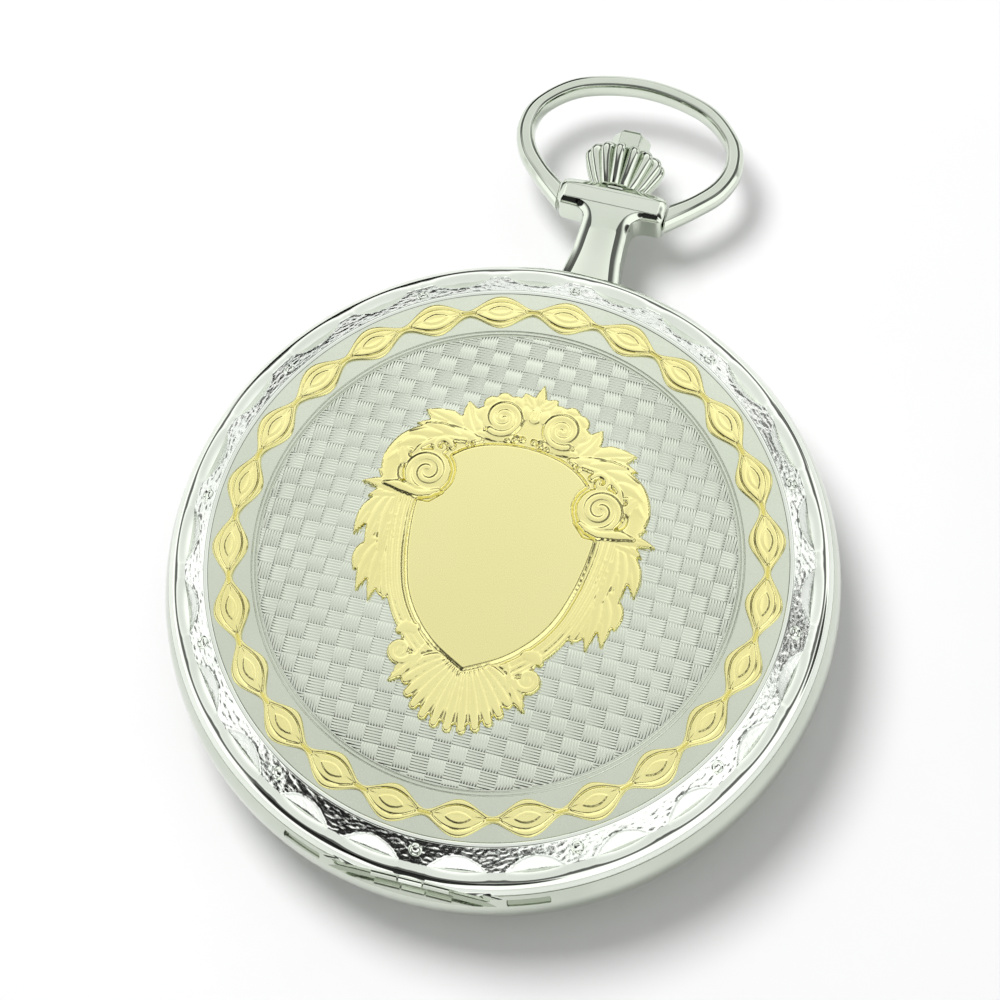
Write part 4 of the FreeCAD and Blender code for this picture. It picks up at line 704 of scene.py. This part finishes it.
def build_lid_cartouche():
    """Gold ornament as one relief over a fine grid, cut to the outline of its strokes."""
    cell = 0.07
    gx, gy = np.meshgrid(np.arange(-11.4, 11.41, cell), np.arange(-14.2, 14.2, cell))
    ax = np.abs(gx)
    far = 9.0

    def distance(line, widths):
        """Where the stroke is near, the least distance outside it, and the share of its half width."""
        low, high = line.min(0) - widths.max() - 0.4, line.max(0) + widths.max() + 0.4
        near = (ax > low[0]) & (ax < high[0]) & (gy > low[1]) & (gy < high[1])
        px, py = ax[near], gy[near]
        best, share = np.full(px.shape, far), np.full(px.shape, far)
        for k, (a, b) in enumerate(zip(line[:-1], line[1:])):
            d = b - a
            t = np.clip(((px - a[0]) * d[0] + (py - a[1]) * d[1]) / (d @ d + 1e-12), 0, 1)
            dist = np.hypot(px - a[0] - t * d[0], py - a[1] - t * d[1])
            w = widths[k] + t * (widths[k + 1] - widths[k])
            closer = dist - w < best
            best = np.where(closer, dist - w, best)
            share = np.where(closer, dist / np.maximum(w, 1e-3), share)
        return near, best, share

    # the plain shield: shield is its signed distance, negative inside
    shield = np.full(gx.shape, far)
    near, best, _ = distance(SHIELD_HALF, np.zeros(len(SHIELD_HALF)))
    shield[near] = best
    half_width = np.interp(gy, SHIELD_HALF[::-1, 1], SHIELD_HALF[::-1, 0])
    in_shield = (ax < half_width) & (gy < SHIELD_HALF[0, 1]) & (gy > SHIELD_HALF[-1, 1])
    shield = np.where(in_shield, -shield, shield)
    mask = shield - 0.1
    height = np.zeros(gx.shape)
    for line, widths, foot, crown, vein in strokes():
        near, best, share = distance(line, widths)
        top = foot + crown * np.sqrt(np.clip(1 - share ** 2, 0, 1))
        if vein:
            top -= vein * np.exp(-(share / 0.16) ** 2)
        was = height[near]
        height[near] = np.where(best < 0, np.maximum(top, np.minimum(was, foot * 0.7)), was)
        mask[near] = np.minimum(mask[near], best)
    volute = (ax - VOLUTE[0]) ** 2 + (gy - VOLUTE[1]) ** 2 < 2.03 ** 2
    tail = (ax > 4.9) & (gy > 2.6) & (gy < 3.6) & (ax > 5.4 - (gy - 3.0))
    plain = (shield < 0) & ~volute & ~tail
    height = np.where(plain, 0.08 + 0.2 * np.clip(-shield / 0.3, 0, 1), height)
    height = np.where(plain & (shield > -0.07), 0.05, height)
    height = np.maximum(height, 0.02) + 0.13
    for axis in (0, 1):
        height = (np.roll(height, 1, axis) + 2 * height + np.roll(height, -1, axis)) / 4

    # keep the cells inside the outline and draw their loose corners onto it
    gy_m, gx_m = np.gradient(mask, cell)
    keep = (mask[:-1, :-1] + mask[1:, :-1] + mask[:-1, 1:] + mask[1:, 1:]) / 4 < 0
    used = np.zeros(mask.shape, bool)
    full = np.ones(mask.shape, bool)
    for dy in (0, 1):
        for dx in (0, 1):
            part = (slice(dy, mask.shape[0] - 1 + dy), slice(dx, mask.shape[1] - 1 + dx))
            used[part] |= keep
            full[part] &= keep
    full[[0, -1], :] = False
    full[:, [0, -1]] = False
    border = used & ~full
    norm2 = np.maximum(gx_m ** 2 + gy_m ** 2, 0.25)
    shift = np.clip(mask / norm2, -cell, cell) * border
    vx, vy = gx - shift * gx_m, gy - shift * gy_m
    z = dome_z(np.hypot(vx, vy)) + np.where(border, 0.04, height)
    index = np.full(mask.shape, -1)
    index[used] = np.arange(used.sum())
    verts = np.stack([vx[used], vy[used], z[used]], 1)
    quads = np.stack([index[:-1, :-1], index[:-1, 1:], index[1:, 1:], index[1:, :-1]], -1)[keep]
    # skirt down into the lid
    edges = open_edges(quads)
    rim = sorted({v for e in edges for v in e})
    lower = {v: len(verts) + n for n, v in enumerate(rim)}
    walls = [[a, lower[a], lower[b], b] for a, b in edges]
    verts = np.vstack([verts, verts[rim] - (0, 0, 0.14)])
    inner_plain = plain[:-1, :-1] & plain[1:, 1:] & (shield[:-1, :-1] < -0.4)
    finish = np.concatenate([inner_plain[keep].astype(int), np.zeros(len(walls), int)])
    piece("lid_cartouche", verts, np.vstack([quads, walls]), "front_lid", [gold, gold_plain],
          finish, sharp=48, closed=False)


def build_lid_knuckle():
    """The lid's knuckle in the middle of the hinge, with fine rounded ends."""
    half = (HINGE_HIGH[0] - HINGE_LOW[0]) / 6 - 0.06
    side = [(-half, 0.22), (-half, 0.42), (-half + 0.06, 0.49)]
    profile = side + [(0.0, 0.5)] + [(-x, r) for x, r in side[::-1]]
    cols = 40
    verts = [(x, HINGE_Y + r * math.cos(a), HINGE_Z + r * math.sin(a))
             for x, r in profile for a in ring_angles(cols)]
    piece("lid_knuckle", verts, grid_faces(len(profile), cols, wrap=True), "front_lid", [painted_light_lid_steel])


build_lid_shell()
build_lid_rosettes()
build_lid_weave()
build_lid_band()
build_lid_chain()
build_lid_cartouche()
build_lid_knuckle()


# ---- pendant, bow and crown ----
PENDANT_FOOT_Y = 24.0
PENDANT_END_Y = 33.7
PENDANT_DEPTH = (2.1, 1.65)          # half thickness at its foot and at its end


def build_pendant():
    """Flowing T: a waisted neck and a cross head, flat in front, with a shallow bevel and rounded sides."""
    neck = spline([(2.5, PENDANT_FOOT_Y), (2.4, 24.9), (2.16, 26.2), (1.96, 27.6), (1.88, 29.0), (1.84, 30.2),
                   (2.0, 30.85), (2.5, 31.18), (3.2, 31.26)], 5)
    head = spline([(3.2, 31.26), (3.9, 31.3), (4.18, 31.6), (4.22, 32.3), (4.18, 33.05), (3.9, 33.42),
                   (3.2, 33.58), (1.8, 33.68), (0.0, 33.72)], 5)[1:]
    half = np.vstack([neck, head])
    outline = np.vstack([half, half[-2::-1] * (-1, 1)])
    bevel_width = 0.86 - 0.30 * smooth_step(outline[:, 1], 29.6, 31.3)
    # each ring: share of the bevel's width inwards, then its height as a share of the depth or a drop from it
    steps = [(0.0, 0.58, 0.0), (0.03, 0.74, 0.0), (0.10, 0.0, 0.44), (0.18, 0.0, 0.37), (0.92, 0.0, 0.03),
             (1.0, 0.0, 0.0)]
    rows = []
    for inward, part, drop in steps:
        ring = outline_inset(outline, inward * bevel_width)
        ring[:, 1] = np.clip(ring[:, 1], PENDANT_FOOT_Y, None)
        along = (ring[:, 1] - PENDANT_FOOT_Y) / (PENDANT_END_Y - PENDANT_FOOT_Y)
        depth = PENDANT_DEPTH[0] - (PENDANT_DEPTH[0] - PENDANT_DEPTH[1]) * along
        rows.append((ring, depth * part if part else depth - drop))
    levels = [np.column_stack([ring, STEM_Z + height]) for ring, height in rows[::-1]]
    levels += [np.column_stack([ring, STEM_Z - height]) for ring, height in rows]
    n, count = len(outline), len(levels)
    faces = [list(f) for f in grid_faces(count, n, wrap=True)]
    for level, flip in ((0, False), (count - 1, True)):       # front and back faces as strips from side to side
        base = level * n
        for k in range(len(half) - 1):
            a, b = base + k, base + k + 1
            c, d = base + (n - 1 - k), base + (n - 2 - k)
            quad = [a, b, d, c] if b != d else [a, b, c]
            faces.append(quad[::-1] if flip else quad)
    body = piece("pendant_body", np.vstack(levels), faces, "case", [polished], sharp=24,
                 replaces=["pendant"])
    bevelled(body, 0.05, 24)
    seat = along_stem([(0.7, 33.3), (1.5, 33.3), (1.62, 33.36), (1.64, 33.46), (1.5, 33.52), (0.7, 33.52)], 64)
    piece("crown_seat", seat.reshape(-1, 3), grid_faces(6, 64, wrap=True), "case", [polished])


BOW_OUTER = [(4.32, 31.3), (6.6, 33.3), (8.3, 35.2), (9.0, 37.6), (8.2, 40.1), (5.2, 42.6), (0.0, 43.6)]
BOW_INNER = [(4.32, 33.4), (5.8, 34.5), (7.15, 36.1), (7.6, 37.9), (6.9, 39.8), (4.4, 41.6), (0.0, 42.4)]


def build_bow():
    """Wide oval ring of bevelled section, flat in front and behind."""
    outer, inner = (spline(half + [(-x, y) for x, y in half[-2::-1]], 14) for half in (BOW_OUTER, BOW_INNER))
    section = [(0.0, 0.35), (0.03, 0.70), (0.12, 0.88), (0.27, 0.97), (0.62, 0.97), (0.79, 0.86), (0.95, 0.58),
               (1.0, 0.3)]
    section += [(u, -h) for u, h in section[::-1]]
    verts = np.stack([np.column_stack([inner + (outer - inner) * u, np.full(len(inner), STEM_Z + h)])
                      for u, h in section])
    rows, cols = verts.shape[:2]
    faces = [list(f) for f in grid_faces(rows, cols)]
    faces += [[(rows - 1) * cols + c, (rows - 1) * cols + c + 1, c + 1, c] for c in range(cols - 1)]
    faces.append([r * cols for r in range(rows)])
    faces.append([r * cols + cols - 1 for r in range(rows)][::-1])
    bow = piece("bow_ring", verts.reshape(-1, 3), faces, "bow", [polished], sharp=22,
                replaces=["bow"])
    bevelled(bow, 0.05, 16)


FLUTES = 15


def build_crown():
    """Crown with bold round flutes, open in the middle for the push button."""
    y0, y1 = CROWN_LOW[1], CROWN_HIGH[1]
    # radius, distance from the near end, depth of the flutes there
    near = [(1.75, 0.0, 0.04), (2.0, 0.06, 0.1), (2.24, 0.4, 0.17), (2.5, 0.9, 0.22), (2.78, 1.45, 0.25),
            (3.02, 1.95, 0.26), (3.16, 2.3, 0.27), (3.2, 2.55, 0.28), (3.15, 2.8, 0.29), (3.02, 3.0, 0.3),
            (2.82, 3.14, 0.31), (2.55, 3.2, 0.29)]
    end = [(2.25, 0.02, 0.22), (1.95, 0.02, 0.1), (1.75, -0.06, 0.03), (1.66, -0.2, 0), (1.64, -1.0, 0),
           (0.4, -1.04, 0)]
    profile = [(0.5, y0)] + [(r, y0 + y) for r, y, _ in near] + [(r, y1 + y) for r, y, _ in end]
    depth = np.array([0] + [d for _, _, d in near + end])
    cols = FLUTES * 24
    v = along_stem(profile, cols,
                   lambda angle, row: 1 - depth[row] * (1 - np.abs(np.cos(FLUTES / 2 * angle)) ** 0.5))
    piece("crown_fluted", v.reshape(-1, 3), grid_faces(len(profile), cols, wrap=True), "crown",
          [polished], sharp=40, replaces=["crown"])


def build_button():
    """Six-sided push button with crisp facets and a small bevel round its end."""
    low, high = cad_box("lid_button")
    reach = (high[0] - low[0]) / 2
    end = high[1] + 0.5
    rings = along_stem([(0.0, low[1]), (reach, low[1]), (reach, end - 0.28), (reach - 0.26, end), (0.0, end)], 6)
    button = piece("button_hex", rings.reshape(-1, 3), grid_faces(5, 6, wrap=True), "lid_button",
                   [polished], sharp=20, replaces=["lid_button"], merge=True)
    bevelled(button, 0.07, 20)


build_pendant()
build_bow()
build_crown()
build_button()


# ---- dial printing ----
INK_LOW, INK_HIGH = -0.02, 0.025     # the ink stands this far into and over the enamel
HOURS = ["XII", "I", "II", "III", "IIII", "V", "VI", "VII", "VIII", "IX", "X", "XI"]
HOUR_R, HOUR_HEIGHT = 15.6, 3.3
TRACK_R = (18.35, 19.15)
SECONDS_AT = (0.0, -9.6)
SECONDS_SUNK = 0.15


def printed(polygons, name, top):
    """Thin raised ink from convex outlines, on enamel whose top is given."""
    verts, faces = [], []
    for poly in polygons:
        base, n = len(verts), len(poly)
        verts += [(x, y, top + z) for z in (INK_LOW, INK_HIGH) for x, y in poly]
        faces.append(list(range(base, base + n))[::-1])
        faces.append(list(range(base + n, base + 2 * n)))
        faces += [[base + k, base + (k + 1) % n, base + n + (k + 1) % n, base + n + k] for k in range(n)]
    piece(name, verts, faces, "case", [ink], sharp=30)


def bar(x0, y0, x1, y1, width):
    d = np.array([x1 - x0, y1 - y0])
    side = np.array([-d[1], d[0]]) / np.linalg.norm(d) * width / 2
    a, b = np.array([x0, y0]), np.array([x1, y1])
    return [a - side, b - side, b + side, a + side]


def numeral(text, height):
    """Roman numeral as bars, centred on the origin and standing upright."""
    wide, thin, serif, gap = 0.4264, 0.17, 0.13, 0.2
    low, top = -height / 2, height / 2
    parts, x = [], 0.0
    for letter in text:
        w = 0.55 if letter == "I" else 1.75
        if letter == "I":
            parts.append(bar(x + w / 2, low, x + w / 2, top, wide))
            feet = [(x + w / 2, y, 0.38, 0.38) for y in (top, low)]
        elif letter == "V":
            parts.append(bar(x + 0.3, top, x + w / 2 + 0.06, low, wide))
            parts.append(bar(x + w - 0.22, top, x + w / 2 + 0.1, low, thin))
            feet = [(cx, top, 0.4, 0.36) for cx in (x + 0.3, x + w - 0.24)]
        else:
            parts.append(bar(x + 0.28, top, x + w - 0.3, low, wide))
            parts.append(bar(x + w - 0.28, top, x + 0.28, low, thin))
            feet = [(cx, y, 0.36, 0.36) for cx in (x + 0.28, x + w - 0.28) for y in (top, low)]
        parts += [bar(cx - left, y, cx + right, y, serif) for cx, y, left, right in feet]
        x += w + gap
    return [[p - ((x - gap) / 2, 0) for p in part] for part in parts]


def turned_flat(parts, hour, radius):
    """Outlines moved up to the radius and turned clockwise to the hour."""
    a = math.radians(-30.0 * hour)
    c, s = math.cos(a), math.sin(a)
    return [[(c * x - s * (y + radius), s * x + c * (y + radius)) for x, y in part] for part in parts]


def circle_line(radius, width, at=(0, 0), n=180):
    inner, outer = radius - width / 2, radius + width / 2
    turns = [2 * math.pi * k / n for k in range(n + 1)]
    return [[(at[0] + r * math.cos(t), at[1] + r * math.sin(t))
             for r, t in ((inner, a), (outer, a), (outer, b), (inner, b))] for a, b in zip(turns, turns[1:])]


def minute_ticks(plain, fifth, at=(0, 0)):
    """Sixty ticks of (inner radius, outer radius, width), with every fifth one its own."""
    ticks = []
    for k in range(60):
        r0, r1, width = plain if k % 5 else fifth
        s, c = math.sin(math.pi * k / 30), math.cos(math.pi * k / 30)
        ticks.append(bar(at[0] + r0 * s, at[1] + r0 * c, at[0] + r1 * s, at[1] + r1 * c, width))
    return ticks


def build_dial_print():
    """Roman hours with a minute track, and the seconds track in its sunk circle where VI would be."""
    marks = []
    for hour, text in enumerate(HOURS):
        if text != "VI":
            marks += turned_flat(numeral(text, HOUR_HEIGHT), hour, HOUR_R)
    marks += minute_ticks((*TRACK_R, 0.12), (*TRACK_R, 0.34))
    for radius in TRACK_R:
        marks += circle_line(radius, 0.09)
    printed(marks, "dial_print", DIAL_TOP)
    small = minute_ticks((3.72, 4.05, 0.07), (3.45, 4.05, 0.16), SECONDS_AT)
    small += circle_line(4.05, 0.07, SECONDS_AT, 96)
    printed(small, "seconds_print", DIAL_TOP - SECONDS_SUNK)


build_dial_print()


# ---- stage ----
def stage_floor():
    rings = [0.0, 60, 150, 400, 1200, 4000]
    v = turned([(r, -0.02) for r in rings], 64)
    mesh = bpy.data.meshes.new("floor")
    faces = grid_faces(len(rings), 64, wrap=True)[:, ::-1]
    mesh.from_pydata((v.reshape(-1, 3) * MM).tolist(), [], faces.tolist())
    paper = Skin("studio_paper", {"Roughness": 0.9, "Specular IOR Level": 0.1})
    paper.mottled(30.0, (0.90, 0.90, 0.905), (0.92, 0.92, 0.92))
    mesh.materials.append(paper.owner)
    added("floor", mesh)


# Camera: seen from 20 degrees off the lid's normal, the picture turned so that the pendant leans right.
TILT, AZIMUTH, ROLL = math.radians(20.35), math.radians(25.55), math.radians(-16.09)
DISTANCE, PIXELS_PER_MM = 250.0, 13.794
PICTURE = 1000
CENTRE_PX = (496.9, 557.9)           # where the point AIM_Z up the case axis stands in the picture
AIM_Z = 12.1
SENSOR = 36.0


def place_camera():
    back = np.array([math.sin(TILT) * math.sin(AZIMUTH), -math.sin(TILT) * math.cos(AZIMUTH), math.cos(TILT)])
    flat_right = np.cross((0, 1, 0), back)
    flat_right /= np.linalg.norm(flat_right)
    flat_up = np.cross(back, flat_right)
    right = math.cos(ROLL) * flat_right - math.sin(ROLL) * flat_up
    up = math.sin(ROLL) * flat_right + math.cos(ROLL) * flat_up
    focal = DISTANCE * PIXELS_PER_MM
    forward = -back * focal + right * (PICTURE / 2 - CENTRE_PX[0]) + up * (CENTRE_PX[1] - PICTURE / 2)
    forward /= np.linalg.norm(forward)
    side = right - forward * (right @ forward)
    side /= np.linalg.norm(side)
    at = (np.array([0, 0, AIM_Z]) + back * DISTANCE) * MM
    camera = added("camera", bpy.data.cameras.new("camera"))
    camera.matrix_world = Matrix([*np.column_stack([side, np.cross(side, forward), -forward, at]).tolist(),
                                  [0, 0, 0, 1]])
    camera.data.sensor_width = SENSOR
    camera.data.lens = focal / PICTURE * SENSOR
    camera.data.clip_start, camera.data.clip_end = 0.01, 20
    bpy.context.scene.camera = camera


def key_light(direction, distance, size, watts):
    """Soft round light from that direction, left out of reflections."""
    light = added("key", bpy.data.lights.new("key", "AREA"))
    light.data.shape = "DISK"
    light.data.size = size
    light.data.energy = watts
    light.visible_glossy = False
    direction = Vector(direction).normalized()
    light.location = direction * distance
    light.rotation_mode = "QUATERNION"
    light.rotation_quaternion = direction.to_track_quat("Z", "Y")


ROOM_SEEN = 1.05                     # brightness of the room seen past the floor
ROOM_IN_METAL, ROOM_ON_PAPER = 1.34, 0.86
MIRROR_OF_LID = (-0.15, 0.31, 0.94)
# angle from that direction in degrees, and brightness there, from far to near
DARK_RING = [(66, 1.0), (59, 0.12), (45, 0.10), (38, 1.0)]
# direction, inner and outer angle of the fade in degrees, brightness inside
FLAGS = [((-0.15, 0.05, 0.99), 10, 48, 0.66),
         ((-0.62, 0.78, 0.05), 16, 22, 0.02),
         ((-0.15, -0.80, 0.58), 13, 18, 0.02),
         ((-0.52, -0.68, 0.52), 12, 17, 0.02),
         ((0.20, -0.77, 0.61), 7, 11, 0.03),
         ((0.90, 0.30, 0.26), 8, 13, 0.04),
         ((0.50, 0.84, 0.20), 5, 8, 0.05)]


def studio_world():
    """White room for the metal to reflect, with a dim ceiling, a dark ring round it and a few dark flags."""
    world = bpy.data.worlds.new("studio")
    bpy.context.scene.world = world
    tree = Tree(world, "OutputWorld")
    sky_at = tree.node("TexCoord").outputs["Generated"]
    ray = tree.node("LightPath").outputs

    def cosine(degrees):
        return math.cos(math.radians(degrees))

    def toward(direction):
        """Cosine of the angle between each direction of the sky and the given one."""
        return tree.node("VectorMath", {1: Vector(direction).normalized()}, {0: sky_at},
                         operation="DOT_PRODUCT").outputs["Value"]

    level = tree.ramp(toward(MIRROR_OF_LID), [(cosine(angle), (tone,) * 3) for angle, tone in DARK_RING])
    for direction, inner, outer, dark in FLAGS:
        fade = tree.spread(toward(direction), 1.0, dark, cosine(outer), cosine(inner),
                           interpolation_type="SMOOTHSTEP")
        level = tree.node("Math", sources={0: level, 1: fade}, operation="MULTIPLY").outputs["Value"]
    strength = tree.spread(ray["Is Diffuse Ray"], ROOM_IN_METAL, ROOM_ON_PAPER, 0.0, 1.0)
    room = tree.node("Background", sources={"Color": level, "Strength": strength})
    plain = tree.node("Background", {"Color": (1, 1, 1, 1), "Strength": ROOM_SEEN})
    pick = tree.node("MixShader", sources={0: ray["Is Camera Ray"], 1: room.outputs[0], 2: plain.outputs[0]})
    tree.links.new(pick.outputs[0], tree.end)


stage_floor()
place_camera()
studio_world()
key_light((-0.50, 0.36, 1.4), 0.5, 0.22, 1.8)
bpy.context.scene.view_settings.view_transform = "Standard"
